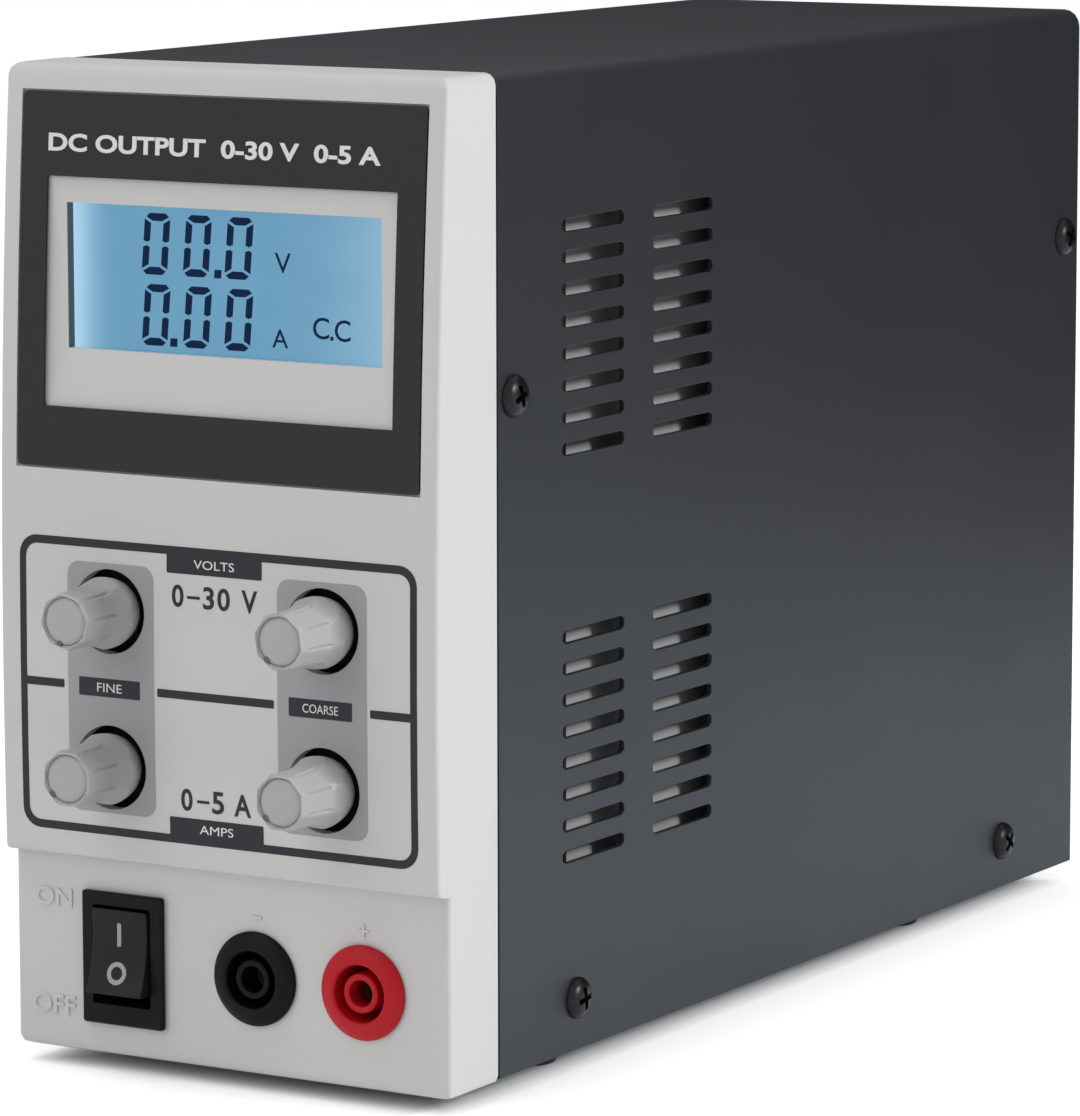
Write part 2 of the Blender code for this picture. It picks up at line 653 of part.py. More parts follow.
def switch_housing():
    """Snap-in switch shell: chamfered rim, open well for the rocker and three blade terminals."""
    back = -PANEL_DEPTH - GAP
    rim = [[(x, y, z) for x, z in rounded(SWITCH_WIDTH - 2 * tuck, SWITCH_HEIGHT - 2 * tuck, 0.4, 2,
                                          (SWITCH_X, SWITCH_Z))]
           for y, tuck in ((back, 0.0), (SWITCH_FRONT_Y + 0.3, 0.0), (SWITCH_FRONT_Y, 0.3))]
    shell = make("switch_housing", loft(rim), BLACK_PLASTIC)
    body_back = back + SWITCH_BODY_DEPTH
    join(shell, prism(rounded(SWITCH_BODY_WIDTH, SWITCH_BODY_HEIGHT, 0.6, 2, (SWITCH_X, SWITCH_Z)), "Y",
                      back - 0.6, body_back))
    cut(shell, prism(rounded(WELL_WIDTH, WELL_HEIGHT, 0.5, 2, (SWITCH_X, SWITCH_Z)), "Y",
                     SWITCH_FRONT_Y - 2.0, body_back - 2.0))
    cut(shell, rod(PIVOT_DIAMETER / 2 + GAP, 14, "X", SWITCH_X - SWITCH_WIDTH, SWITCH_X + SWITCH_WIDTH,
                   (PIVOT_Y, SWITCH_Z)))
    blades = []
    for step in (-1, 0, 1):
        z = SWITCH_Z + step * BLADE_PITCH
        blades.append(box(SWITCH_X - BLADE_WIDTH / 2, SWITCH_X + BLADE_WIDTH / 2, body_back - 1.0,
                          body_back + BLADE_LENGTH, z - SOLDER_BLADE / 2, z + SOLDER_BLADE / 2))
    join(shell, together(blades))


def switch_rocker():
    """Rocker with a hollowed face, hung on two side pins and left pressed in at its upper end."""
    half = WELL_WIDTH / 2 - GAP
    reach = WELL_HEIGHT / 2 - ROCKER_END_GAP
    proud = PIVOT_DEPTH + ROCKER_PROUD
    rise = math.tan(math.radians(ROCKER_THROW / 2)) * reach
    face = [(-(proud + rise * (k / 3) ** 2), reach * k / 3) for k in range(-3, 4)]
    outline = face + [(-1.5, reach - 0.4), (1.5, 2.2), (1.5, -2.2), (-1.5, -reach + 0.4)]
    rocker = make("switch_rocker", prism([(PIVOT_Y + y, SWITCH_Z + z) for y, z in outline], "X",
                                         SWITCH_X - half, SWITCH_X + half),
                  BLACK_PLASTIC, (SWITCH_X, PIVOT_Y, SWITCH_Z))
    join(rocker, rod(PIVOT_DIAMETER / 2, 14, "X", SWITCH_X - SWITCH_BODY_WIDTH / 2 + 0.2,
                     SWITCH_X + SWITCH_BODY_WIDTH / 2 - 0.2, (PIVOT_Y, SWITCH_Z)))
    tilt = math.radians(-ROCKER_THROW / 2)
    rocker.rotation_euler = (tilt, 0, 0)
    for modifier in rocker.modifiers:
        modifier.object.rotation_euler = (tilt, 0, 0)


def socket(colour, x, finish):
    """Shrouded 4 mm socket: low domed shell with a deep ring groove, brass contact and hex nut."""
    place = (x, SOCKET_Z)
    body = SOCKET_BODY / 2
    flange = SOCKET_FLANGE / 2
    groove = SHROUD_BORE / 2
    sleeve = SLEEVE_DIAMETER / 2
    contact = CONTACT_DIAMETER / 2
    back = -PANEL_DEPTH - GAP
    groove_end = SOCKET_BACK_Y - 3.0
    profile = [(flange, back), (flange - 0.1, back - SOCKET_RIM * 0.45),
               (flange - 1.2, back - SOCKET_RIM * 0.8), (groove + 0.35, SOCKET_FRONT_Y),
               (groove, SOCKET_FRONT_Y + 0.35), (groove, groove_end),
               (sleeve, groove_end),
               (sleeve, SOCKET_FRONT_Y + 0.7), (contact + GAP, SOCKET_FRONT_Y + 0.7),
               (contact + GAP, SOCKET_BACK_Y), (body, SOCKET_BACK_Y), (body, back)]
    make(f"{colour}_socket_shell", turned(profile, 20, "Y", place), finish)
    bore = PLUG_BORE / 2
    shoulder = SOCKET_BACK_Y + GAP
    tail = contact - 0.8
    contact_front = SOCKET_FRONT_Y + CONTACT_SUNK
    profile = [(0, CONTACT_BACK_Y), (0, groove_end), (bore, groove_end - 1.0), (bore, contact_front),
               (contact, contact_front), (contact, shoulder), (contact + 1.4, shoulder),
               (contact + 1.4, shoulder + 1.2), (tail, shoulder + 1.2), (tail, CONTACT_BACK_Y)]
    make(f"{colour}_socket_contact", turned(profile, 10, "Y", place), BRASS)
    nut_front = -PANEL_DEPTH + PANEL_WALL + GAP
    nut = make(f"{colour}_socket_nut", rod(NUT_ACROSS_FLATS / math.sqrt(3), 6, "Y", nut_front,
                                           nut_front + NUT_THICKNESS, place), BRASS)
    cut(nut, rod(body + GAP, 16, "Y", nut_front - 2, nut_front + NUT_THICKNESS + 2, place))


def screw_places():
    """Side screws of the cover, as y and z."""
    return {"front": (FRONT_SCREW_Y, FRONT_SCREW_Z),
            "rear": (COVER_LENGTH - REAR_SCREW_SETBACK, REAR_SCREW_Z),
            "low_front": (LOW_FRONT_SCREW_Y, LOW_SCREW_Z),
            "low_rear": (COVER_LENGTH - LOW_REAR_SCREW_SETBACK, LOW_SCREW_Z)}


def bent_section(half, top, thickness, radius):
    """Upside-down U of bent sheet: outer line up and over, inner line back."""
    def arch(offset):
        r = radius - offset
        points = [(half - offset, 0.0)]
        for side in (1, -1):
            for step in range(5):
                angle = math.pi / 8 * (step if side == 1 else 4 - step)
                points.append((side * (half - radius + r * math.cos(angle)),
                               top - radius + r * math.sin(angle)))
        points.append((-half + offset, 0.0))
        return points
    return arch(0.0) + list(reversed(arch(thickness)))


def vent_slots():
    """Two groups of eight rows in two columns, cut through both sides at once."""
    slots = []
    for first_z in (LOWER_VENT_Z, UPPER_VENT_Z):
        for column in range(2):
            y = SLOT_FIRST_Y + column * SLOT_COLUMN_PITCH
            for row in range(SLOT_ROWS):
                outline = slot(SLOT_LENGTH, SLOT_HEIGHT, (y, first_z + row * SLOT_PITCH))
                slots.append(prism(outline, "X", -HALF - 5, HALF + 5))
    return together(slots)


def cover():
    """Bent steel cover: top and both sides in one sheet, with vents and screw holes."""
    section = bent_section(HALF, CASE_HEIGHT, SHEET, BEND_RADIUS)
    sheet = make("cover", prism(section, "Y", 0.0, COVER_LENGTH), PAINTED_STEEL)
    cut(sheet, vent_slots())
    cut(sheet, together([rod(SCREW_SHANK / 2 + GAP, 10, "X", -HALF - 5, HALF + 5, place)
                         for place in screw_places().values()]))


def foot_places():
    rear = COVER_LENGTH - REAR_FOOT_SETBACK
    x = HALF - FOOT_INSET
    return {"front_left": (-x, FRONT_FOOT_Y), "front_right": (x, FRONT_FOOT_Y),
            "rear_left": (-x, rear), "rear_right": (x, rear)}


def standoff_places():
    x = MAIN_BOARD_HALF - 4.0
    return [(sx * x, y) for sx in (-1, 1) for y in (MAIN_BOARD_FRONT + 4.0, MAIN_BOARD_REAR - 4.0)]


def chassis():
    """Base tray with two upturned lips and pressed standoffs; its plate runs on under the rear panel."""
    start = 0.6
    lip_end = REAR_PLATE_Y - REAR_FLANGE - GAP
    inner = INNER_HALF - BASE_SHEET
    bm = bmesh.new()
    spots = [(-INNER_HALF, 0), (INNER_HALF, 0), (INNER_HALF, BASE_SHEET), (inner, BASE_SHEET),
             (-inner, BASE_SHEET), (-INNER_HALF, BASE_SHEET), (-inner, LIP_HEIGHT), (-INNER_HALF, LIP_HEIGHT),
             (INNER_HALF, LIP_HEIGHT), (inner, LIP_HEIGHT)]
    v = [bm.verts.new((x, start, z)) for x, z in spots]
    plate = bm.faces.new(v[:6])
    lips = [bm.faces.new((v[5], v[4], v[6], v[7])), bm.faces.new((v[3], v[2], v[8], v[9]))]
    first = bmesh.ops.extrude_face_region(bm, geom=[plate] + lips, use_keep_orig=True)
    moved = [g for g in first["geom"] if isinstance(g, bmesh.types.BMVert)]
    bmesh.ops.translate(bm, vec=(0, lip_end - start, 0), verts=moved)
    end_plate = [g for g in first["geom"] if isinstance(g, bmesh.types.BMFace) and len(g.verts) == 6]
    second = bmesh.ops.extrude_face_region(bm, geom=end_plate)
    bmesh.ops.delete(bm, geom=end_plate, context="FACES_ONLY")
    moved = [g for g in second["geom"] if isinstance(g, bmesh.types.BMVert)]
    bmesh.ops.translate(bm, vec=(0, REAR_FACE_Y - lip_end, 0), verts=moved)
    tray = make("chassis", bm, PLAIN_STEEL)
    standoff_top = BASE_SHEET + STANDOFF_HEIGHT
    join(tray, together([rod(STANDOFF_DIAMETER / 2, 8, "Z", BASE_SHEET / 2, standoff_top, place)
                         for place in standoff_places()]))
    holes = [rod(2.0 + 2 * GAP, 10, "Z", -2.0, BASE_SHEET + 2.0, place) for place in foot_places().values()]
    for name, place in screw_places().items():
        if name.startswith("low"):
            holes.append(rod(SCREW_SHANK / 2 + GAP, 10, "X", -HALF - 5, HALF + 5, place))
    cut(tray, together(holes))


def foot(name, place):
    """Rubber foot with a tapered rim and a stem pushed through the base plate."""
    r = FOOT_DIAMETER / 2
    profile = [(0, -FOOT_HEIGHT), (r - 0.6, -FOOT_HEIGHT), (r, -GAP), (2.0, -GAP), (2.0, BASE_SHEET + 1.6),
               (0, BASE_SHEET + 1.6)]
    make(f"foot_{name}", turned(profile, 12, "Z", place), RUBBER)


def case_screw(name, side, place):
    """Pan-head screw through the cover into the piece behind it."""
    head = SCREW_HEAD / 2
    shank = SCREW_SHANK / 2
    seat = HALF + GAP
    profile = [(0, seat + SCREW_HEAD_HEIGHT), (head * 0.6, seat + SCREW_HEAD_HEIGHT * 0.92),
               (head * 0.94, seat + SCREW_HEAD_HEIGHT * 0.5), (head, seat), (shank, seat),
               (shank, HALF - SCREW_LENGTH), (0, HALF - SCREW_LENGTH)]
    word = "left" if side < 0 else "right"
    make(f"screw_{name}_{word}", turned([(r, side * x) for r, x in profile], 10, "X", place), BLACK_STEEL)


def grille_slots():
    """Rings of curved slots with four bridges each, in front of the fan."""
    slots = []
    for ring in range(GRILLE_RINGS):
        mid = GRILLE_PITCH * (ring + 1.2)
        inner, outer = mid - GRILLE_SLOT / 2, mid + GRILLE_SLOT / 2
        steps = 3 + ring // 2
        for quarter in range(4):
            edge = math.asin(GRILLE_BRIDGE / 2 / mid)
            low, high = quarter * math.pi / 2 + edge, (quarter + 1) * math.pi / 2 - edge
            angles = [low + (high - low) * k / steps for k in range(steps + 1)]
            arc = [(outer * math.cos(a), FAN_Z + outer * math.sin(a)) for a in angles]
            arc += [(inner * math.cos(a), FAN_Z + inner * math.sin(a)) for a in reversed(angles)]
            slots.append(prism(arc, "Y", REAR_PLATE_Y - 2.0, REAR_FACE_Y + 2.0))
    return together(slots)


def fan_hole_places():
    p = FAN_HOLE_PITCH / 2
    return {"low_left": (-p, FAN_Z - p), "low_right": (p, FAN_Z - p), "high_left": (-p, FAN_Z + p),
            "high_right": (p, FAN_Z + p)}


def rear_panel():
    """Folded rear plate with a stamped fan grille, the inlet cut-out and side flanges for screws."""
    low = BASE_SHEET + GAP
    high = CASE_HEIGHT - SHEET - GAP
    corner = BEND_RADIUS - SHEET
    height = high - low
    centre = (0, (high + low) / 2)
    plate = make("rear_panel", prism(rounded(2 * INNER_HALF, height, corner, 2, centre), "Y",
                                     REAR_PLATE_Y - REAR_FLANGE, REAR_FACE_Y), PAINTED_STEEL)
    hollow = rounded(2 * (INNER_HALF - BASE_SHEET), height - 2 * BASE_SHEET, corner - 0.5, 2, centre)
    cut(plate, prism(hollow, "Y", REAR_PLATE_Y - REAR_FLANGE - 5.0, REAR_PLATE_Y))
    cut(plate, grille_slots())
    holes = [rod(SCREW_SHANK / 2 + GAP, 10, "Y", REAR_PLATE_Y - 2.0, REAR_FACE_Y + 2.0, place)
             for place in fan_hole_places().values()]
    window = rounded(INLET_BODY_WIDTH + 2 * GAP, INLET_TOP - INLET_BOTTOM - 2.0 + 2 * GAP, 0.8, 2,
                     (0, (INLET_TOP + INLET_BOTTOM) / 2))
    holes.append(prism(window, "Y", REAR_PLATE_Y - 2.0, REAR_FACE_Y + 2.0))
    holes.append(rod(SCREW_SHANK / 2 + GAP, 10, "X", -HALF - 5, HALF + 5, screw_places()["rear"]))
    cut(plate, together(holes))


def fan_frame():
    """Square fan housing with a round duct, four corner holes, and a bearing held on four struts."""
    place = (0, FAN_Z)
    square = rounded(FAN_SIZE, FAN_SIZE, 4.0, 3, place)
    housing = make("fan_frame", prism(square, "Y", FAN_FRONT_Y, FAN_REAR_Y), BLACK_PLASTIC)
    holes = [rod(2.1, 8, "Y", FAN_FRONT_Y - 2, FAN_REAR_Y + 2, spot) for spot in fan_hole_places().values()]
    cut(housing, rod(FAN_BORE / 2, 32, "Y", FAN_FRONT_Y - 2, FAN_REAR_Y + 2, place))
    cut(housing, together(holes))
    base_front = FAN_REAR_Y - 3.0
    hub = HUB_DIAMETER / 2
    bearing = BEARING_DIAMETER / 2
    bore = FAN_SHAFT / 2 + GAP
    motor = [(bore, FAN_FRONT_Y + 7.0), (bore, FAN_REAR_Y - 0.6), (0, FAN_REAR_Y - 0.6), (0, FAN_REAR_Y),
             (hub, FAN_REAR_Y), (hub, base_front), (bearing, base_front), (bearing, FAN_FRONT_Y + 7.0)]
    join(housing, turned(motor, 16, "Y", place))
    struts = []
    for k in range(4):
        angle = math.radians(30 + 90 * k)
        along = Vector((math.cos(angle), 0, math.sin(angle)))
        across = Vector((-math.sin(angle), 0, math.cos(angle))) * 1.3
        rings = []
        for r in (hub - 1.5, FAN_BORE / 2 + 0.8):
            spot = Vector((0, 0, FAN_Z)) + along * r
            rings.append([tuple(spot + across * s + Vector((0, y, 0)))
                          for s, y in ((-1, base_front), (1, base_front), (1, FAN_REAR_Y - GAP),
                                       (-1, FAN_REAR_Y - GAP))])
        struts.append(loft(rings))
    join(housing, together(struts))


def fan_rotor():
    """Seven swept blades round a hub cup, carried by a shaft in the bearing."""
    place = (0, FAN_Z)
    hub = HUB_DIAMETER / 2 - 0.2
    front = FAN_FRONT_Y + 1.0
    back = FAN_REAR_Y - 4.0
    shaft = FAN_SHAFT / 2
    wall = 1.6
    cup = turned([(0, front), (hub - 1.0, front), (hub, front + 1.0), (hub, back), (hub - wall, back),
                  (hub - wall, front + wall), (shaft, front + wall), (shaft, FAN_REAR_Y - 1.4),
                  (0, FAN_REAR_Y - 1.4)], 16, "Y", place)
    rotor = make("fan_rotor", cup, BLACK_PLASTIC, (0, front, FAN_Z))
    blades = []
    for k in range(BLADE_COUNT):
        rings = []
        middle = (hub + BLADE_SPAN / 2) / 2
        for r, sweep in ((hub - wall / 2, 0.0), (middle, 6.0), (BLADE_SPAN / 2, 14.0)):
            ring = []
            for side in (-1, 1):
                for part in ((0, 0.5, 1) if side < 0 else (1, 0.5, 0)):
                    angle = math.radians(360 / BLADE_COUNT * k + sweep + 34 * (part - 0.5))
                    y = front + 2.0 + (back - front - 4.0) * part ** 1.2 + side * BLADE_THICKNESS / 2
                    ring.append((r * math.cos(angle), y, FAN_Z + r * math.sin(angle)))
            rings.append(ring)
        blades.append(loft(rings))
    join(rotor, together(blades))


def fan_screw(name, place):
    """Self-tapping screw that holds the fan to the rear panel."""
    head = SCREW_HEAD / 2 - 0.3
    shank = SCREW_SHANK / 2
    seat = REAR_FACE_Y + GAP
    profile = [(0, seat + 1.9), (head * 0.6, seat + 1.75), (head * 0.93, seat + 0.9), (head, seat),
               (shank, seat), (shank, REAR_FACE_Y - 10.0), (0, REAR_FACE_Y - 10.8)]
    make(f"fan_screw_{name}", turned(profile, 10, "Y", place), BLACK_STEEL)


def mains_inlet():
    """Three-pin inlet with a fuse drawer bay below it, moulded as one body behind a flange."""
    middle = (0, (INLET_TOP + INLET_BOTTOM) / 2)
    tall = INLET_TOP - INLET_BOTTOM
    rim = []
    for y, tuck in ((INLET_FRONT_Y, 0.0), (INLET_REAR_Y - 0.6, 0.0), (INLET_REAR_Y, 0.6)):
        outline = rounded(INLET_FLANGE_WIDTH - 2 * tuck, tall + 1.4 - 2 * tuck, 1.6, 3, middle)
        rim.append([(x, y, z) for x, z in outline])
    body = make("mains_inlet", loft(rim), BLACK_PLASTIC)
    front = INLET_FRONT_Y - INLET_BODY_DEPTH
    block = rounded(INLET_BODY_WIDTH, tall - 2.0, 0.8, 2, middle)
    join(body, prism(block, "Y", front, INLET_FRONT_Y + 0.6))
    w, h, bevel = CAVITY_WIDTH / 2, CAVITY_HEIGHT / 2, 4.5
    outline = [(-w, INLET_Z - h), (w, INLET_Z - h), (w, INLET_Z + h - bevel), (w - bevel, INLET_Z + h),
               (-w + bevel, INLET_Z + h), (-w, INLET_Z + h - bevel)]
    floor = INLET_REAR_Y - CAVITY_DEPTH
    bay = rounded(DRAWER_WIDTH + 2 * GAP, DRAWER_HEIGHT + 2 * GAP, 0.5, 2, (0, DRAWER_Z))
    cut(body, prism(outline, "Y", floor, INLET_REAR_Y + 2.0))
    cut(body, prism(bay, "Y", INLET_REAR_Y - DRAWER_DEPTH - GAP, INLET_REAR_Y + 2.0))
    pins = []
    tabs = []
    for x, z in ((-PIN_PITCH / 2, INLET_Z - 2.0), (PIN_PITCH / 2, INLET_Z - 2.0), (0, INLET_Z + 2.0)):
        pins.append(box(x - 1.0, x + 1.0, floor - 1.0, INLET_REAR_Y - 3.0, z - 2.0, z + 2.0))
        tabs.append(box(x - 0.4, x + 0.4, front - 8.0, front + 1.0, z - 3.1, z + 3.1))
    join(body, together(pins), together(tabs))


def fuse_drawer():
    """Pull-out tray with a finger lip, and the glass fuse that lies across it."""
    rear = INLET_REAR_Y
    inner_end = rear - DRAWER_DEPTH
    low = DRAWER_Z - DRAWER_HEIGHT / 2
    block = rounded(DRAWER_WIDTH, DRAWER_HEIGHT, 0.5, 2, (0, DRAWER_Z))
    tray = make("fuse_drawer", prism(block, "Y", inner_end, rear), BLACK_PLASTIC, (0, inner_end, DRAWER_Z))
    cut(tray, box(-DRAWER_WIDTH / 2 + DRAWER_WALL, DRAWER_WIDTH / 2 - DRAWER_WALL, inner_end + DRAWER_WALL,
                  rear - 2.0, low + DRAWER_WALL, low + 2 * DRAWER_HEIGHT))
    cut(tray, box(-5.0, 5.0, rear - 1.0, rear + 3.0, low - 3.0, low + 2.2))
    fuse_y = inner_end + DRAWER_WALL + GAP + FUSE_DIAMETER / 2
    fuse_z = low + DRAWER_WALL + GAP + FUSE_DIAMETER / 2
    r = FUSE_DIAMETER / 2
    end = FUSE_LENGTH / 2
    profile = [(0, -end), (r, -end), (r, -end + 5.5), (r - 0.3, -end + 5.5), (r - 0.3, end - 5.5),
               (r, end - 5.5), (r, end), (0, end)]
    make("mains_fuse", turned(profile, 10, "X", (fuse_y, fuse_z)), FUSE_GLASS)


def main_board():
    """Power board on four standoffs, with its small capacitors and the output terminal soldered on."""
    half = MAIN_BOARD_HALF
    y_mid = (MAIN_BOARD_FRONT + MAIN_BOARD_REAR) / 2
    sheet = rounded(2 * half, MAIN_BOARD_REAR - MAIN_BOARD_FRONT, 1.5, 2, (0, y_mid))
    board = make("main_board", prism(sheet, "Z", MAIN_BOARD_Z, MAIN_BOARD_TOP), CIRCUIT_BOARD)
    seat = MAIN_BOARD_TOP - 0.5
    left = TERMINAL_X - TERMINAL_WIDTH / 2
    soldered = [box(left, left + TERMINAL_WIDTH, TERMINAL_Y, TERMINAL_Y + TERMINAL_DEPTH, seat,
                    SOCKET_Z + TERMINAL_RISE)]
    beside = left - SMALL_CAPACITOR / 2 - 1.0
    behind = TERMINAL_Y + TERMINAL_DEPTH + SMALL_CAPACITOR
    top = MAIN_BOARD_TOP + SMALL_CAPACITOR_HEIGHT
    for place in ((beside, TERMINAL_Y + SMALL_CAPACITOR / 2), (TERMINAL_X, behind), (beside, behind)):
        soldered.append(rod(SMALL_CAPACITOR / 2, 10, "Z", seat, top, place))
    join(board, together(soldered))


def heat_sink(name, side):
    """Extruded aluminium sink: flat back towards the vents, upright fins towards the middle."""
    pitch = SINK_LENGTH / SINK_FINS
    root = SINK_OUTER - SINK_PLATE
    end = SINK_FRONT + SINK_LENGTH
    outline = [(SINK_OUTER, SINK_FRONT), (SINK_OUTER, end), (root, end)]
    for k in reversed(range(SINK_FINS)):
        y = SINK_FRONT + pitch * (k + 0.5)
        tip = root - SINK_FIN
        outline += [(root, y + 0.9), (tip, y + 0.6), (tip, y - 0.6), (root, y - 0.9)]
    outline.append((root, SINK_FRONT))
    make(f"heat_sink_{name}", prism([(side * x, y) for x, y in outline], "Z", PART_Z, SINK_TOP), ALUMINIUM)


def transformer():
    """Ferrite E-core pair with its taped winding."""
    y = SINK_FRONT + SINK_LENGTH + TRANSFORMER_GAP + TRANSFORMER_DEPTH / 2
    w, h, deep = TRANSFORMER_WIDTH / 2, TRANSFORMER_HEIGHT, CORE_DEPTH / 2
    core = make("transformer", box(-w, w, y - deep, y + deep, PART_Z, PART_Z + h), FERRITE)
    windows = []
    for side in (-1, 1):
        x0, x1 = sorted((side * (w - CORE_LEG), side * (w - CORE_LEG - CORE_WINDOW)))
        windows.append(box(x0, x1, y - 2 * deep, y + 2 * deep, PART_Z + CORE_LEG, PART_Z + h - CORE_LEG))
    cut(core, together(windows))
    winding = rounded(2 * (w - CORE_LEG - 0.4), TRANSFORMER_DEPTH, 4.0, 3, (0, y))
    join(core, prism(winding, "Z", PART_Z + CORE_LEG + 0.5, PART_Z + h - CORE_LEG - 0.5))


def bulk_capacitor():
    """Mains capacitor can with a rolled groove near its foot."""
    r = CAPACITOR_DIAMETER / 2
    y = MAIN_BOARD_REAR - r - CAPACITOR_REAR_GAP
    z = PART_Z
    profile = [(0, z), (r - 0.6, z), (r, z + 0.8), (r, z + 3.0), (r - 0.7, z + 3.8), (r, z + 4.6),
               (r, z + CAPACITOR_HEIGHT - 1.0), (r - 1.0, z + CAPACITOR_HEIGHT), (0, z + CAPACITOR_HEIGHT)]
    make("bulk_capacitor", turned(profile, 14, "Z", (CAPACITOR_X, y)), SLEEVE_FILM)


def output_lead(colour, x, end_x, finish):
    """Insulated wire from a socket's tail to the output terminal on the power board."""
    start = Vector((x, CONTACT_BACK_Y + GAP, SOCKET_Z))
    end = Vector((end_x, TERMINAL_Y - GAP, SOCKET_Z))
    reach = Vector((0, (end.y - start.y) * 0.6, 0))
    path = geometry.interpolate_bezier(start, start + reach, end - reach, end, 7)
    rings = []
    for i, spot in enumerate(path):
        along = (path[min(i + 1, len(path) - 1)] - path[max(i - 1, 0)]).normalized()
        if i in (0, len(path) - 1):
            along = Vector((0, 1, 0))
        across = along.cross(Vector((0, 0, 1)))
        ring = []
        for k in range(8):
            angle = math.pi / 4 * k
            around = across * math.cos(angle) + Vector((0, 0, math.sin(angle)))
            ring.append(spot + LEAD_DIAMETER / 2 * around)
        rings.append(ring)
    make(f"output_lead_{colour}", loft(rings), finish)


front_panel()
display_label()
display_module()
for control_name, control_place in knob_places().items():
    control(control_name, control_place)
switch_housing()
switch_rocker()
socket("black", BLACK_SOCKET_X, BLACK_PLASTIC)
socket("red", RED_SOCKET_X, RED_PLASTIC)
cover()
chassis()
for foot_name, foot_place in foot_places().items():
    foot(foot_name, foot_place)
for screw_name, screw_place in screw_places().items():
    case_screw(screw_name, -1, screw_place)
    case_screw(screw_name, 1, screw_place)
rear_panel()
fan_frame()
fan_rotor()
for hole_name, hole_place in fan_hole_places().items():
    fan_screw(hole_name, hole_place)
mains_inlet()
fuse_drawer()
main_board()
heat_sink("left", -1)
heat_sink("right", 1)
transformer()
bulk_capacitor()
output_lead("black", BLACK_SOCKET_X, TERMINAL_X - LEAD_SPACING / 2, BLACK_PLASTIC)
output_lead("red", RED_SOCKET_X, TERMINAL_X + LEAD_SPACING / 2, RED_PLASTIC)
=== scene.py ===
import math

import bmesh
import bpy
from mathutils import Matrix, Vector


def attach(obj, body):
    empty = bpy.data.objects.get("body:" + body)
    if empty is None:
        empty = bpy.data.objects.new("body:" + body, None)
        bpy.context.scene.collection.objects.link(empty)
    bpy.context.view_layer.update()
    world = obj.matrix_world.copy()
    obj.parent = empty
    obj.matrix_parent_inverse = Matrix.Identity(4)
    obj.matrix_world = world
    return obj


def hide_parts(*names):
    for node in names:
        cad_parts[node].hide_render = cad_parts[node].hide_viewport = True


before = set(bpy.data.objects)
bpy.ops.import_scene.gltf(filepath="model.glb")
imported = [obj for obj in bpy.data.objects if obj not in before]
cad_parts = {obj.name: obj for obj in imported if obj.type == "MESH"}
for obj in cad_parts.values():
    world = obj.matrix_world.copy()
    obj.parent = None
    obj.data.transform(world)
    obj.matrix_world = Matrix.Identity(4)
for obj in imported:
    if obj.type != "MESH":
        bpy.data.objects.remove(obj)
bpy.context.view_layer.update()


# Base tray
# The tray is folded from 1.2 mm zinc-plated steel: a floor, two upturned lips for the
# low cover screws, and four pressed standoffs that carry the power board.

# Sizes of pieces are in millimetres; lengths inside shaders and in the studio are in metres.
MM = 0.001
WELD_GAP = 0.002
FLAT_WITHIN = math.radians(0.2)
SMOOTH_BELOW = math.radians(33)
EASED_ABOVE = math.radians(40)
ZINC = (0.56, 0.57, 0.58, 1.0)


def effect(name, takes, gives):
    """Empty node group with named sockets; takes holds (name, type, default)."""
    group = bpy.data.node_groups.new(name, "ShaderNodeTree")
    for label, kind, default in takes:
        socket = group.interface.new_socket(label, in_out="INPUT", socket_type=kind)
        socket.default_value = default
    for label, kind in gives:
        group.interface.new_socket(label, in_out="OUTPUT", socket_type=kind)
    inward = group.nodes.new("NodeGroupInput")
    outward = group.nodes.new("NodeGroupOutput")
    return group, inward, outward


def node(tree, kind, feeds=None, **settings):
    """One shader node; feeds maps a socket to a value or to another node's output."""
    made = tree.nodes.new(kind)
    for key, value in settings.items():
        setattr(made, key, value)
    for key, value in (feeds or {}).items():
        if isinstance(value, bpy.types.NodeSocket):
            tree.links.new(value, made.inputs[key])
        else:
            made.inputs[key].default_value = value
    return made


def tint_by(tree, colour, amount, spread):
    """Colour made lighter and darker by a value that runs from 0 to 1."""
    centred = node(tree, "ShaderNodeMath", {0: amount, 1: 0.5}, operation="SUBTRACT")
    scaled = node(tree, "ShaderNodeMath", {0: centred.outputs[0], 1: spread, 2: 1.0},
                  operation="MULTIPLY_ADD")
    return node(tree, "ShaderNodeVectorMath", {0: colour, "Scale": scaled.outputs[0]},
                operation="SCALE").outputs[0]


def vary(tree, value, amount, spread):
    """Value moved up and down by an amount that runs from 0 to 1."""
    centred = node(tree, "ShaderNodeMath", {0: amount, 1: 0.5}, operation="SUBTRACT")
    return node(tree, "ShaderNodeMath", {0: centred.outputs[0], 1: spread, 2: value},
                operation="MULTIPLY_ADD").outputs[0]


NUMBER, COLOUR, VECTOR = "NodeSocketFloat", "NodeSocketColor", "NodeSocketVector"
SURFACE = [("Colour", COLOUR), ("Roughness", NUMBER), ("Height", NUMBER)]

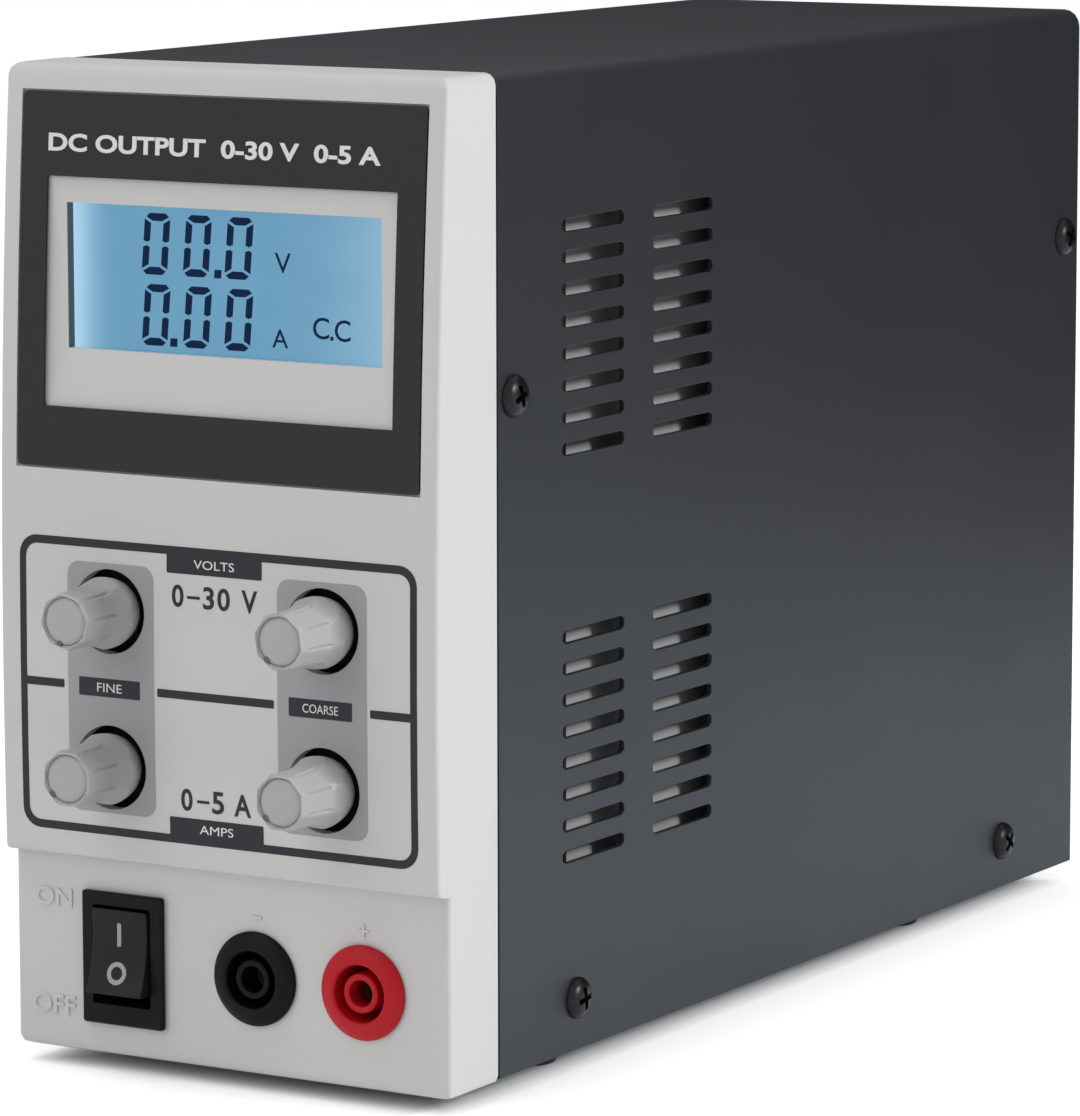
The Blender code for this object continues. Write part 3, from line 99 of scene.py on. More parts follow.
# Fine grain of a moulded, painted or rolled skin, with slow cloudiness from handling.
grain, grain_in, grain_out = effect(
    "skin_grain",
    [("Colour", COLOUR, (0.5, 0.5, 0.5, 1)), ("Roughness", NUMBER, 0.5), ("Grain per m", NUMBER, 2500.0),
     ("Colour spread", NUMBER, 0.05), ("Gloss spread", NUMBER, 0.1)],
    SURFACE)
where = node(grain, "ShaderNodeTexCoord").outputs["Object"]
fine = node(grain, "ShaderNodeTexNoise", {
    "Vector": where, "Scale": grain_in.outputs["Grain per m"], "Detail": 2.0})
cloud = node(grain, "ShaderNodeTexNoise", {"Vector": where, "Scale": 38.0, "Detail": 3.0})
both = node(grain, "ShaderNodeMath", {0: fine.outputs[0], 1: cloud.outputs[0]}, operation="ADD")
half = node(grain, "ShaderNodeMath", {0: both.outputs[0], 1: 0.5}, operation="MULTIPLY")
tint = tint_by(grain, grain_in.outputs["Colour"], half.outputs[0], grain_in.outputs["Colour spread"])
gloss = vary(grain, grain_in.outputs["Roughness"], cloud.outputs[0], grain_in.outputs["Gloss spread"])
grain.links.new(tint, grain_out.inputs["Colour"])
grain.links.new(gloss, grain_out.inputs["Roughness"])
grain.links.new(fine.outputs[0], grain_out.inputs["Height"])

# Straight rolling or drawing lines in bare metal, along one axis of the piece.
lines, lines_in, lines_out = effect(
    "drawn_lines",
    [("Colour", COLOUR, (0.5, 0.5, 0.5, 1)), ("Roughness", NUMBER, 0.3), ("Stretch", VECTOR, (1, 1, 1)),
     ("Colour spread", NUMBER, 0.12), ("Gloss spread", NUMBER, 0.2)],
    SURFACE)
where = node(lines, "ShaderNodeTexCoord").outputs["Object"]
along = node(lines, "ShaderNodeVectorMath", {0: where, 1: lines_in.outputs["Stretch"]}, operation="MULTIPLY")
streak = node(lines, "ShaderNodeTexNoise", {"Vector": along.outputs[0], "Scale": 1.0, "Detail": 3.0})
tint = tint_by(lines, lines_in.outputs["Colour"], streak.outputs[0], lines_in.outputs["Colour spread"])
gloss = vary(lines, lines_in.outputs["Roughness"], streak.outputs[0], lines_in.outputs["Gloss spread"])
lines.links.new(tint, lines_out.inputs["Colour"])
lines.links.new(gloss, lines_out.inputs["Roughness"])
lines.links.new(streak.outputs[0], lines_out.inputs["Height"])


def new_material(name):
    """Material with its node tree and its shader."""
    made = bpy.data.materials.new(name)
    made.use_nodes = True
    return made, made.node_tree, made.node_tree.nodes["Principled BSDF"]


def finish(name, group, feeds, bump, **sockets):
    """Material from one surface effect; sockets are plain values on the shader itself."""
    made, tree, shader = new_material(name)
    skin = node(tree, "ShaderNodeGroup", node_tree=group)
    for key, value in feeds.items():
        skin.inputs[key].default_value = value
    tree.links.new(skin.outputs["Colour"], shader.inputs["Base Color"])
    tree.links.new(skin.outputs["Roughness"], shader.inputs["Roughness"])
    if bump:
        relief = node(tree, "ShaderNodeBump", {"Strength": 1.0, "Distance": bump * MM,
                                               "Height": skin.outputs["Height"]})
        tree.links.new(relief.outputs[0], shader.inputs["Normal"])
    for key, value in sockets.items():
        shader.inputs[key.replace("_", " ")].default_value = value
    return made


# Joined skin shaded smooth over shallow edges and left crisp at the sharp ones.
shading = bpy.data.node_groups.new("smooth_over_shallow_edges", "GeometryNodeTree")
shading.interface.new_socket("Geometry", in_out="INPUT", socket_type="NodeSocketGeometry")
shading.interface.new_socket("Geometry", in_out="OUTPUT", socket_type="NodeSocketGeometry")
entry = shading.nodes.new("NodeGroupInput")
plain = node(shading, "GeometryNodeRemoveAttribute", {"Geometry": entry.outputs[0], "Name": "custom_normal"})
smooth = node(shading, "GeometryNodeSetShadeSmooth", {"Geometry": plain.outputs[0], "Shade Smooth": True})
angle = node(shading, "GeometryNodeInputMeshEdgeAngle").outputs["Unsigned Angle"]
shallow = node(shading, "FunctionNodeCompare", {0: angle, 1: SMOOTH_BELOW}, operation="LESS_THAN")
crisp = node(shading, "GeometryNodeSetShadeSmooth", {
    "Geometry": smooth.outputs[0], "Shade Smooth": shallow.outputs[0]}, domain="EDGE")
leave = shading.nodes.new("NodeGroupOutput")
shading.links.new(crisp.outputs[0], leave.inputs[0])


def dress(name, skin, edge=0.0):
    """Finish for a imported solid, with its split faces joined and its edges eased."""
    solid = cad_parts[name]
    solid.data.materials.clear()
    solid.data.materials.append(skin)
    joined = solid.modifiers.new("joined", "WELD")
    joined.merge_threshold = WELD_GAP * MM
    if edge:
        flat = solid.modifiers.new("flat_faces", "DECIMATE")
        flat.decimate_type = "DISSOLVE"
        flat.angle_limit = FLAT_WITHIN
        eased = solid.modifiers.new("eased_edges", "BEVEL")
        eased.width = edge * MM
        eased.segments = 2
        eased.limit_method = "ANGLE"
        eased.angle_limit = EASED_ABOVE
    shade = solid.modifiers.new("shading", "NODES")
    shade.node_group = shading
    if edge:
        level = solid.modifiers.new("flat_faces_shade_flat", "WEIGHTED_NORMAL")
        level.keep_sharp = True


zinc_plate = finish("zinc_plated_steel", lines, {
    "Colour": ZINC, "Roughness": 0.36, "Stretch": (3000, 60, 3000)}, 0.01, Metallic=1.0)
dress("chassis", zinc_plate)


# Feet
# Four moulded rubber feet, each with a tapered rim and a stem pressed through the tray.

FEET = {"front_left": (-29.5, 26.0), "front_right": (29.5, 26.0), "rear_left": (-29.5, 150.0),
        "rear_right": (29.5, 150.0)}
FOOT_OUTLINE = [(0, -3.5), (4.4, -3.5), (5.0, -0.05), (2.0, -0.05), (2.0, 2.8), (0, 2.8)]
MERGE = 1e-5
CASE_FRONT, CASE_BOTTOM = -85.8, 3.5
TO_FRAME = Matrix.Translation((0, CASE_FRONT * MM, CASE_BOTTOM * MM)) @ Matrix.Scale(MM, 4)


def softened(profile, radius, steps=3, share=0.45):
    """Closed outline with each corner turned into a curve over at most a share of its sides."""
    count = len(profile)
    points = []
    for i, corner in enumerate(profile):
        corner = Vector(corner)
        before = Vector(profile[i - 1]) - corner
        after = Vector(profile[(i + 1) % count]) - corner
        if corner.x < MERGE:
            points.append(tuple(corner))
            continue
        reach = min(radius, before.length * share, after.length * share)
        a, b = corner + before.normalized() * reach, corner + after.normalized() * reach
        for k in range(steps + 1):
            t = k / steps
            points.append(tuple(a * (1 - t) ** 2 + corner * 2 * t * (1 - t) + b * t * t))
    return points


def lathe(profile, sides, axis, centre=(0, 0)):
    """Closed outline of (radius, along) pairs turned about an axis through centre."""
    bm = bmesh.new()
    rings = []
    for i in range(sides):
        turn = 2 * math.pi * i / sides
        ring = []
        for radius, way in profile:
            a, b = centre[0] + radius * math.cos(turn), centre[1] + radius * math.sin(turn)
            ring.append(bm.verts.new({"X": (way, a, b), "Y": (a, way, b), "Z": (a, b, way)}[axis]))
        rings.append(ring)
    for i in range(sides):
        low, high = rings[i], rings[(i + 1) % sides]
        for k in range(len(profile)):
            m = (k + 1) % len(profile)
            bm.faces.new((low[k], low[m], high[m], high[k]))
    bmesh.ops.remove_doubles(bm, verts=bm.verts, dist=MERGE)
    bmesh.ops.delete(bm, geom=[e for e in bm.edges if not e.link_faces], context="EDGES")
    return bm


def fit(name, bm, skin, body, replaced=(), crisp=40, place=TO_FRAME):
    """Piece built in millimetres from the case's corner, set in the frame on its body."""
    bmesh.ops.recalc_face_normals(bm, faces=bm.faces)
    bm.transform(place)
    mesh = bpy.data.meshes.new(name)
    bm.to_mesh(mesh)
    bm.free()
    mesh.shade_smooth()
    mesh.set_sharp_from_angle(angle=math.radians(crisp))
    mesh.materials.append(skin)
    made = bpy.data.objects.new(name, mesh)
    bpy.context.scene.collection.objects.link(made)
    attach(made, body)
    if replaced:
        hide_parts(*replaced)


foot_rubber = finish("foot_rubber", grain, {
    "Colour": (0.018, 0.018, 0.019, 1), "Roughness": 0.8, "Grain per m": 4000.0, "Colour spread": 0.5},
    0.05)
for spot, place in FEET.items():
    foot = lathe(softened(FOOT_OUTLINE, 0.5), 48, "Z", place)
    fit("rubber_foot_" + spot, foot, foot_rubber, "case", ["foot_" + spot])


# Power board and its parts
# Glass-fibre board on the tray's standoffs, with two extruded aluminium heat sinks, a taped
# ferrite transformer, the mains capacitor in its shrink sleeve and the small output parts.

BOARD_TOP = 0.0129
PART_FOOT = 0.0002
MASK_DARK, MASK_LIGHT, TRACK = (0.012, 0.10, 0.035, 1), (0.014, 0.12, 0.045, 1), (0.05, 0.22, 0.08, 1)
TIN, SLEEVE = (0.62, 0.62, 0.60, 1), (0.02, 0.022, 0.03, 1)


def board_finish(name, flat_axis):
    """Green solder mask with tinned tracks and pads; tall parts on it are black sleeves."""
    made, tree, shader = new_material(name)
    where = node(tree, "ShaderNodeTexCoord").outputs["Object"]
    cut = node(tree, "ShaderNodeTexBrick", {"Vector": where, "Scale": 160.0, "Mortar Size": 0.012,
                                            "Color1": MASK_DARK, "Color2": MASK_LIGHT, "Mortar": TRACK},
               offset=0.31, squash=1.7)
    pads = node(tree, "ShaderNodeTexVoronoi", {"Vector": where, "Scale": 260.0})
    pad = node(tree, "ShaderNodeMath", {0: pads.outputs["Distance"], 1: 0.22}, operation="LESS_THAN")
    tinned = node(tree, "ShaderNodeMix", {"Factor": pad.outputs[0], "A": cut.outputs[0], "B": TIN},
                  data_type="RGBA")
    colour = tinned.outputs["Result"]
    if flat_axis == "Z":
        tall = node(tree, "ShaderNodeSeparateXYZ", {0: where}).outputs["Z"]
        stands = node(tree, "ShaderNodeMath", {0: tall, 1: BOARD_TOP + PART_FOOT}, operation="GREATER_THAN")
        mixed = node(tree, "ShaderNodeMix", {"Factor": stands.outputs[0], "A": colour, "B": SLEEVE},
                     data_type="RGBA")
        colour = mixed.outputs["Result"]
    tree.links.new(colour, shader.inputs["Base Color"])
    gloss = node(tree, "ShaderNodeMapRange", {"Value": pads.outputs["Distance"],
                                              "To Min": 0.25, "To Max": 0.55})
    tree.links.new(gloss.outputs[0], shader.inputs["Roughness"])
    return made


dress("main_board", board_finish("power_board", "Z"))
extruded = finish("extruded_aluminium", lines, {
    "Colour": (0.40, 0.40, 0.40, 1), "Roughness": 0.75, "Stretch": (900, 900, 30)}, 0.01, Metallic=0.1,
    Specular_IOR_Level=0.2)
for side in ("left", "right"):
    dress("heat_sink_" + side, extruded)
dress("transformer", finish("ferrite_and_tape", grain, {
    "Colour": (0.10, 0.085, 0.03, 1), "Roughness": 0.55, "Colour spread": 0.8}, 0.03))
dress("bulk_capacitor", finish("shrink_sleeve", grain, {
    "Colour": (0.02, 0.03, 0.09, 1), "Roughness": 0.3, "Colour spread": 0.3}, 0.01))


# Rear panel
# Folded steel plate in the same satin paint as the cover, with a stamped ring grille for
# the fan and a window for the mains inlet; side flanges take the rear cover screws.

PAINT = (0.0160, 0.0166, 0.0180, 1.0)
satin_paint = finish("satin_paint", grain, {
    "Colour": PAINT, "Roughness": 0.46, "Grain per m": 1500.0, "Colour spread": 0.16, "Gloss spread": 0.10},
    0.012, Specular_IOR_Level=0.42, Specular_Tint=(0.74, 0.87, 1.0, 1.0))
dress("rear_panel", satin_paint, 0.12)


# Fan
# A 60 mm box fan of glass-filled nylon behind the grille: frame with four struts, swept
# rotor on a sleeve bearing, and four self-tapping screws through the rear panel.

nylon = finish("fan_nylon", grain, {
    "Colour": (0.016, 0.016, 0.017, 1), "Roughness": 0.42, "Colour spread": 0.3}, 0.02)
dress("fan_frame", nylon, 0.15)
dress("fan_rotor", nylon)

REAR_FACE = 199
FAN_SCREWS = {"low_left": (-25, 87), "low_right": (25, 87), "high_left": (-25, 137), "high_right": (25, 137)}
FAN_SCREW_TURN, FAN_SCREW_STEP = 0.4, 0.5
black_zinc = finish("black_zinc_screw", grain, {
    "Colour": (0.005, 0.005, 0.0055, 1), "Roughness": 0.34, "Grain per m": 3500.0, "Colour spread": 0.5},
    0.02, Specular_IOR_Level=0.24)


def cross_screw(head, height, shank, length):
    """Pan-head screw along +X with a cross recess, its head seated at x = 0."""
    seat, point, over = 0.06, 0.7, 0.6
    dome = [(0, height), (head * 0.45, height * 0.97), (head * 0.80, height * 0.74),
            (head * 0.97, height * 0.36)]
    stem = [(head, seat), (shank, seat), (shank, -length + point), (0, -length)]
    screw = lathe(dome + stem, 40, "X")
    recess = bmesh.new()
    long, wide, tip = head * 0.62, head * 0.15, height * 0.30
    narrow, flared = 0.7, 1.06
    points = [(long, wide), (wide, wide), (wide, long), (-wide, long), (-wide, wide), (-long, wide),
              (-long, -wide), (-wide, -wide), (-wide, -long), (wide, -long), (wide, -wide), (long, -wide)]
    bottom = [recess.verts.new((tip, a * narrow, b * narrow)) for a, b in points]
    mouth = [recess.verts.new((height + over, a * flared, b * flared)) for a, b in points]
    recess.faces.new(bottom)
    recess.faces.new(list(reversed(mouth)))
    for i in range(len(points)):
        k = (i + 1) % len(points)
        recess.faces.new((bottom[i], mouth[i], mouth[k], bottom[k]))
    return cut_away(screw, recess)


def cut_away(body, tool):
    """Body with the tool's volume taken out."""
    held = []
    for bm in (body, tool):
        bmesh.ops.recalc_face_normals(bm, faces=bm.faces)
        mesh = bpy.data.meshes.new("cutting")
        bm.to_mesh(mesh)
        bm.free()
        thing = bpy.data.objects.new("cutting", mesh)
        bpy.context.scene.collection.objects.link(thing)
        held.append(thing)
    step = held[0].modifiers.new("cut", "BOOLEAN")
    step.operation = "DIFFERENCE"
    step.solver = "EXACT"
    step.object = held[1]
    bpy.context.view_layer.update()
    result = bmesh.new()
    result.from_object(held[0], bpy.context.evaluated_depsgraph_get())
    for thing in held:
        mesh = thing.data
        bpy.data.objects.remove(thing)
        bpy.data.meshes.remove(mesh)
    return result


for turn, (spot, (x, z)) in enumerate(FAN_SCREWS.items()):
    seat = TO_FRAME @ Matrix.Translation((x, REAR_FACE, z)) @ Matrix.Rotation(math.pi / 2, 4, "Z") \
        @ Matrix.Rotation(FAN_SCREW_TURN + FAN_SCREW_STEP * turn, 4, "X")
    screw = cross_screw(head=3.0, height=2.1, shank=1.45, length=10.5)
    fit("fan_screw_head_" + spot, screw, black_zinc, "case", ["fan_screw_" + spot], 35, seat)


# Mains inlet and fuse drawer
# Moulded three-pin inlet snapped into the rear panel, with nickel-plated pins and a drawer
# below it that slides out with the glass fuse.

moulded_black = finish("moulded_black", grain, {
    "Colour": (0.008, 0.008, 0.0085, 1), "Roughness": 0.42, "Grain per m": 2600.0, "Colour spread": 0.3},
    0.012, Specular_IOR_Level=0.15)
dress("mains_inlet", moulded_black, 0.12)
dress("fuse_drawer", moulded_black, 0.12)

nickel = finish("nickel_plate", lines, {
    "Colour": (0.70, 0.68, 0.63, 1), "Roughness": 0.24, "Stretch": (2500, 60, 2500), "Colour spread": 0.06},
    0.004, Metallic=1.0)


def eased_block(x0, x1, y0, y1, z0, z1, edge, steps=2):
    """Block between two corners with its edges eased."""
    bm = bmesh.new()
    bmesh.ops.create_cube(bm, size=1.0)
    for v in bm.verts:
        v.co = (x1 if v.co.x > 0 else x0, y1 if v.co.y > 0 else y0, z1 if v.co.z > 0 else z0)
    bmesh.ops.bevel(bm, geom=bm.edges, offset=edge, segments=steps, profile=0.6, affect="EDGES")
    return bm


PIN_HALF_WIDE, PIN_HALF_TALL, PIN_ROOT, PIN_TIP = 1.04, 2.04, 185.4, 198.4
for word, x, z in (("left", -7.0, 39.0), ("right", 7.0, 39.0), ("earth", 0.0, 43.0)):
    pin = eased_block(x - PIN_HALF_WIDE, x + PIN_HALF_WIDE, PIN_ROOT, PIN_TIP,
                      z - PIN_HALF_TALL, z + PIN_HALF_TALL, 0.45)
    fit("inlet_pin_" + word, pin, nickel, "case")

fuse_glass = finish("fuse_glass", grain, {
    "Colour": (0.92, 0.95, 0.93, 1), "Roughness": 0.08, "Colour spread": 0.02, "Gloss spread": 0.03}, 0,
    Transmission_Weight=0.9, IOR=1.47)
FUSE_PLACE = (189.1, 26.9)
TUBE_OUTER, TUBE_INNER, TUBE_END = 2.2, 1.9, 9.0
CAP_OUTER, CAP_INNER, CAP_END, CAP_MOUTH = 2.5, 2.24, 10.0, 4.5
WIRE, WIRE_END = 0.09, 9.4
tube = [(TUBE_INNER, -TUBE_END), (TUBE_OUTER, -TUBE_END), (TUBE_OUTER, TUBE_END), (TUBE_INNER, TUBE_END)]
fit("fuse_tube", lathe(softened(tube, 0.1), 32, "X", FUSE_PLACE), fuse_glass, "drawer",
    ["mains_fuse"])
cup = [(0, CAP_END), (CAP_OUTER, CAP_END), (CAP_OUTER, CAP_MOUTH), (CAP_INNER, CAP_MOUTH),
       (CAP_INNER, WIRE_END), (0, WIRE_END)]
for word, end in (("left", -1), ("right", 1)):
    cap = lathe([(r, end * a) for r, a in softened(cup, 0.3)], 32, "X", FUSE_PLACE)
    fit("fuse_cap_" + word, cap, nickel, "drawer")
wire = lathe([(0, -WIRE_END), (WIRE, -WIRE_END), (WIRE, WIRE_END), (0, WIRE_END)], 8, "X", FUSE_PLACE)
fit("fuse_wire", wire, nickel, "drawer")


# Front board and display
# The board carries four phenolic potentiometers and the display cell in its white backlight tray.
# Blue light enters at the cell's ends, so they glow; the figures are dark liquid-crystal segments.

dress("front_board", board_finish("front_circuit_board", "Y"))
dress("lcd_backlight", finish("tray_white", grain, {"Colour": (0.78, 0.78, 0.76, 1), "Roughness": 0.5}, 0.02))
drawn_steel = finish("drawn_shaft", lines, {
    "Colour": (0.60, 0.60, 0.61, 1), "Roughness": 0.33, "Stretch": (1200, 100, 1200)}, 0.01, Metallic=1.0)
phenolic = finish("pot_phenolic", grain, {
    "Colour": (0.012, 0.012, 0.013, 1), "Roughness": 0.6, "Colour spread": 0.4}, 0.03,
    Specular_IOR_Level=0.2)
KNOBS = {"voltage_fine": (-19.5, 70.2), "voltage_coarse": (19.5, 70.2), "current_fine": (-19.5, 45.8),
         "current_coarse": (19.5, 45.8)}
for spot in KNOBS:
    dress("pot_" + spot, phenolic)
    dress("pot_shaft_" + spot, drawn_steel)

CELL_Y = -13.136
CELL_END, LEFT_FADE, RIGHT_FADE = 0.0286, -0.0186, 0.0020
BLUE_DARK, BLUE_LIGHT = (0.080, 0.240, 0.380, 1), (0.098, 0.285, 0.440, 1)
LEFT_GLOW, RIGHT_GLOW, UNLIT = (0.36, 0.42, 0.44, 1), (0.12, 0.12, 0.11, 1), (0.01, 0.02, 0.03, 1)
display, tree, shader = new_material("blue_display_cell")
where = node(tree, "ShaderNodeTexCoord").outputs["Object"]
across = node(tree, "ShaderNodeSeparateXYZ", {0: where})
glows = []
for edge, inner in ((-CELL_END, LEFT_FADE), (CELL_END, RIGHT_FADE)):
    near = node(tree, "ShaderNodeMapRange", {"Value": across.outputs["X"], "From Min": inner,
                                             "From Max": edge})
    glows.append(node(tree, "ShaderNodeMath", {0: near.outputs[0], 1: 3.0}, operation="POWER"))
mottle = node(tree, "ShaderNodeTexNoise", {"Vector": where, "Scale": 90.0, "Detail": 1.0})
body_blue = node(tree, "ShaderNodeMix", {
    "Factor": mottle.outputs[0], "A": BLUE_DARK, "B": BLUE_LIGHT}, data_type="RGBA")
left_lit = node(tree, "ShaderNodeMix", {
    "Factor": glows[0].outputs[0], "A": body_blue.outputs["Result"], "B": LEFT_GLOW},
    data_type="RGBA", blend_type="ADD")
lit_blue = node(tree, "ShaderNodeMix", {
    "Factor": glows[1].outputs[0], "A": left_lit.outputs["Result"], "B": RIGHT_GLOW},
    data_type="RGBA", blend_type="ADD")
tree.links.new(lit_blue.outputs["Result"], shader.inputs["Emission Color"])
shader.inputs["Emission Strength"].default_value = 1.0
dim = node(tree, "ShaderNodeMix", {
    "Factor": 0.9, "A": lit_blue.outputs["Result"], "B": UNLIT}, data_type="RGBA")
tree.links.new(dim.outputs["Result"], shader.inputs["Base Color"])
gloss = node(tree, "ShaderNodeMapRange", {"Value": mottle.outputs[0], "To Min": 0.18, "To Max": 0.30})
tree.links.new(gloss.outputs[0], shader.inputs["Roughness"])
dress("lcd_glass", display)


def filled(*loops):
    """Flat sheet in x and z inside an outline, with any further outlines left open."""
    bm = bmesh.new()
    for loop in loops:
        ring = [bm.verts.new((x, 0, z)) for x, z in loop]
        for a, b in zip(ring, ring[1:] + ring[:1]):
            bm.edges.new((a, b))
    bmesh.ops.triangle_fill(bm, use_beauty=True, edges=bm.edges)
    return bm


def thin_plate(sheets, front, back):
    """Closed plate from flat sheets; front and back give y at a place in x and z."""
    made = bmesh.new()
    for flat in sheets:
        kept = [v for v in flat.verts if v.link_faces]
        near = {v: made.verts.new((v.co.x, front(v.co.x, v.co.z), v.co.z)) for v in kept}
        far = {v: made.verts.new((v.co.x, back(v.co.x, v.co.z), v.co.z)) for v in kept}
        for f in flat.faces:
            made.faces.new([near[v] for v in f.verts])
            made.faces.new([far[v] for v in reversed(f.verts)])
        for e in flat.edges:
            if len(e.link_faces) == 1:
                a, b = e.verts
                made.faces.new((near[a], near[b], far[b], far[a]))
        flat.free()
    return made


def level_at(y):
    return lambda x, z: y


def letters(words, x0, x1, z0, z1, weight=0.0):
    """Flat letter shapes stretched to fill a box in x and z."""
    curve = bpy.data.curves.new("letters", "FONT")
    curve.body = words
    curve.offset = weight
    curve.resolution_u = 4
    holder = bpy.data.objects.new("letters", curve)
    bpy.context.scene.collection.objects.link(holder)
    bpy.context.view_layer.update()
    bm = bmesh.new()
    mesh = bpy.data.meshes.new_from_object(holder.evaluated_get(bpy.context.evaluated_depsgraph_get()))
    bm.from_mesh(mesh)
    bpy.data.objects.remove(holder)
    bpy.data.curves.remove(curve)
    bpy.data.meshes.remove(mesh)
    bmesh.ops.remove_doubles(bm, verts=bm.verts, dist=MERGE)
    low = Vector((min(v.co.x for v in bm.verts), min(v.co.y for v in bm.verts)))
    high = Vector((max(v.co.x for v in bm.verts), max(v.co.y for v in bm.verts)))
    for v in bm.verts:
        u, w = (v.co.x - low.x) / (high.x - low.x), (v.co.y - low.y) / (high.y - low.y)
        v.co = (x0 + (x1 - x0) * u, 0, z0 + (z1 - z0) * w)
    return bm


def segment_zero(x, z, wide, tall, bar, lean, gap):
    """Figure zero of six display bars, leaning to the right, with a break at half height."""
    mid, tip, inner, slit, shoulder = tall / 2, 0.9, 0.35, 0.25, 0.55
    low_left = [(0, tip), (bar, bar + inner), (bar, mid - gap), (bar * 0.5, mid - gap * 0.5), (0, mid - gap)]
    bars = [low_left, [(wide - a, b) for a, b in low_left], [(a, tall - b) for a, b in low_left],
            [(wide - a, tall - b) for a, b in low_left]]
    base = [(slit, shoulder), (tip, 0), (wide - tip, 0), (wide - slit, shoulder), (wide - bar - slit, bar),
            (bar + slit, bar)]
    bars += [base, [(a, tall - b) for a, b in base]]
    return [filled([(x + a + lean * b, z + b) for a, b in bar_outline]) for bar_outline in bars]


# Height of each row, left edges of its figures, and place of its dot.
FIGURES = {"figures_upper": (122.2, (-15.8, -8.2, -0.6), (-2.45, 122.2)),
           "figures_lower": (111.3, (-15.9, -8.3, -0.75), (-10.65, 111.3))}
DOT_OUTLINE = ((0, 0), (1.3, 0), (1.4, 1.3), (0.1, 1.3))
INK_FRONT, INK_BACK = CELL_Y - 0.03, CELL_Y + 0.05
figure_ink = finish("display_segments", grain, {
    "Colour": (0.006, 0.022, 0.070, 1), "Roughness": 0.4, "Colour spread": 0.25}, 0,
    Specular_IOR_Level=0.05)
for name, (low, places, dot) in FIGURES.items():
    shapes = []
    for x in places:
        shapes += segment_zero(x, low, wide=4.7, tall=9.45, bar=1.2, lean=0.085, gap=0.5)
    shapes.append(filled([(dot[0] + a, dot[1] + b) for a, b in DOT_OUTLINE]))
    fit(name, thin_plate(shapes, level_at(INK_FRONT), level_at(INK_BACK)), figure_ink, "case")
small_marks = [letters("V", 8.6, 11.5, 123.5, 126.6), letters("A", 8.05, 10.9, 112.2, 115.0),
               letters("C", 15.4, 18.3, 113.9, 117.2, 0.005), letters("C", 19.3, 22.1, 113.7, 117.0, 0.005),
               filled([(18.5, 113.8), (19.05, 113.8), (19.05, 114.4), (18.5, 114.4)])]
units = thin_plate(small_marks, level_at(INK_FRONT), level_at(INK_BACK))
fit("display_units", units, figure_ink, "case")


# Front panel
# One injection moulding of light grey ABS: a bulged upper face over a flat lower ledge, with a
# sloped surround that leads down to the display, and foam strips at the display's two sides. The
# strips' slate colour, with the left strip standing further forward, is painted shade for the gap
# beside the display.

GREY = (0.645, 0.642, 0.632, 1.0)
abs_grey = finish("light_grey_abs", grain, {
    "Colour": GREY, "Roughness": 0.52, "Grain per m": 2200.0, "Colour spread": 0.035, "Gloss spread": 0.10},
    0.010)
dress("front_panel", abs_grey, 0.18)
# Painted shade: slate foam strips stand where the gap at the display's sides is in shade; the left one stands
# further forward.
gap_shade_foam = finish("foam_painted_gap_shade", grain, {
    "Colour": (0.115, 0.148, 0.172, 1), "Roughness": 0.9, "Colour spread": 0.3}, 0.03,
    Specular_IOR_Level=0.1)
STRIP_OUTER, STRIP_INNER, STRIP_BACK, STRIP_LOW, STRIP_HIGH = 28.59, 28.38, -13.16, 110.34, 132.76
for word, side, front in (("left", -1, -14.50), ("right", 1, -13.75)):
    x0, x1 = sorted((side * STRIP_OUTER, side * STRIP_INNER))
    strip = eased_block(x0, x1, front, STRIP_BACK, STRIP_LOW, STRIP_HIGH, 0.03, 1)
    fit("display_gap_shade_strip_" + word, strip, gap_shade_foam, "case")


# Display label
# Dark polyester foil, stuck into a shallow pocket round the display; one white line of plain
# ratings is screen-printed on it.

BULGE_Y, BULGE_MIDDLE, BULGE_CURVE = -17.7, 60.0, 2300.0


def face_y(z):
    """Front of the bulged upper face at a height."""
    return BULGE_Y + (z - BULGE_MIDDLE) ** 2 / BULGE_CURVE


def on_face(depth):
    return lambda x, z: face_y(z) + depth


def rounded(x0, x1, z0, z1, radius, steps=6):
    """Rectangle outline with round corners."""
    points = []
    for cx, cz, first in ((x1 - radius, z1 - radius, 0), (x0 + radius, z1 - radius, 1),
                          (x0 + radius, z0 + radius, 2), (x1 - radius, z0 + radius, 3)):
        for k in range(steps + 1):
            turn = math.pi / 2 * (first + k / steps)
            points.append((cx + radius * math.cos(turn), cz + radius * math.sin(turn)))
    return points


def follow_bulge(flat, pitch=2.5):
    """Sheet split at even heights, so that it can bend with the face."""
    low, high = min(v.co.z for v in flat.verts), max(v.co.z for v in flat.verts)
    for k in range(1, int((high - low) / pitch) + 1):
        bmesh.ops.bisect_plane(flat, geom=flat.verts[:] + flat.edges[:] + flat.faces[:],
                               plane_co=(0, 0, low + k * pitch), plane_no=(0, 0, 1))
    return flat


foil = finish("label_foil", grain, {
    "Colour": (0.0225, 0.0225, 0.0255, 1), "Roughness": 0.5, "Grain per m": 1800.0, "Colour spread": 0.10},
    0.006, Specular_IOR_Level=0.2)
OPENING_HALF, OPENING_LOW, OPENING_HIGH = 31.8, 101.4, 136.8
FOIL_FRONT, FOIL_BACK = 0.02, 0.40
RATING_COAT, INK_ROOT = -0.02, 0.06
opening = [(-OPENING_HALF, OPENING_LOW), (OPENING_HALF, OPENING_LOW), (OPENING_HALF, OPENING_HIGH),
           (-OPENING_HALF, OPENING_HIGH)]
sheet = follow_bulge(filled(rounded(-36.6, 36.6, 92.0, 149.7, 0.7), opening))
fit("label_sheet", thin_plate([sheet], on_face(FOIL_FRONT), on_face(FOIL_BACK)), foil, "case",
    ["display_label"])
white_ink = finish("white_ink", grain, {
    "Colour": (0.80, 0.80, 0.79, 1), "Roughness": 0.5, "Colour spread": 0.08}, 0)
ratings = letters("DC OUTPUT  0-30 V  0-5 A", -31.7, 28.7, 140.6, 143.4, 0.03)
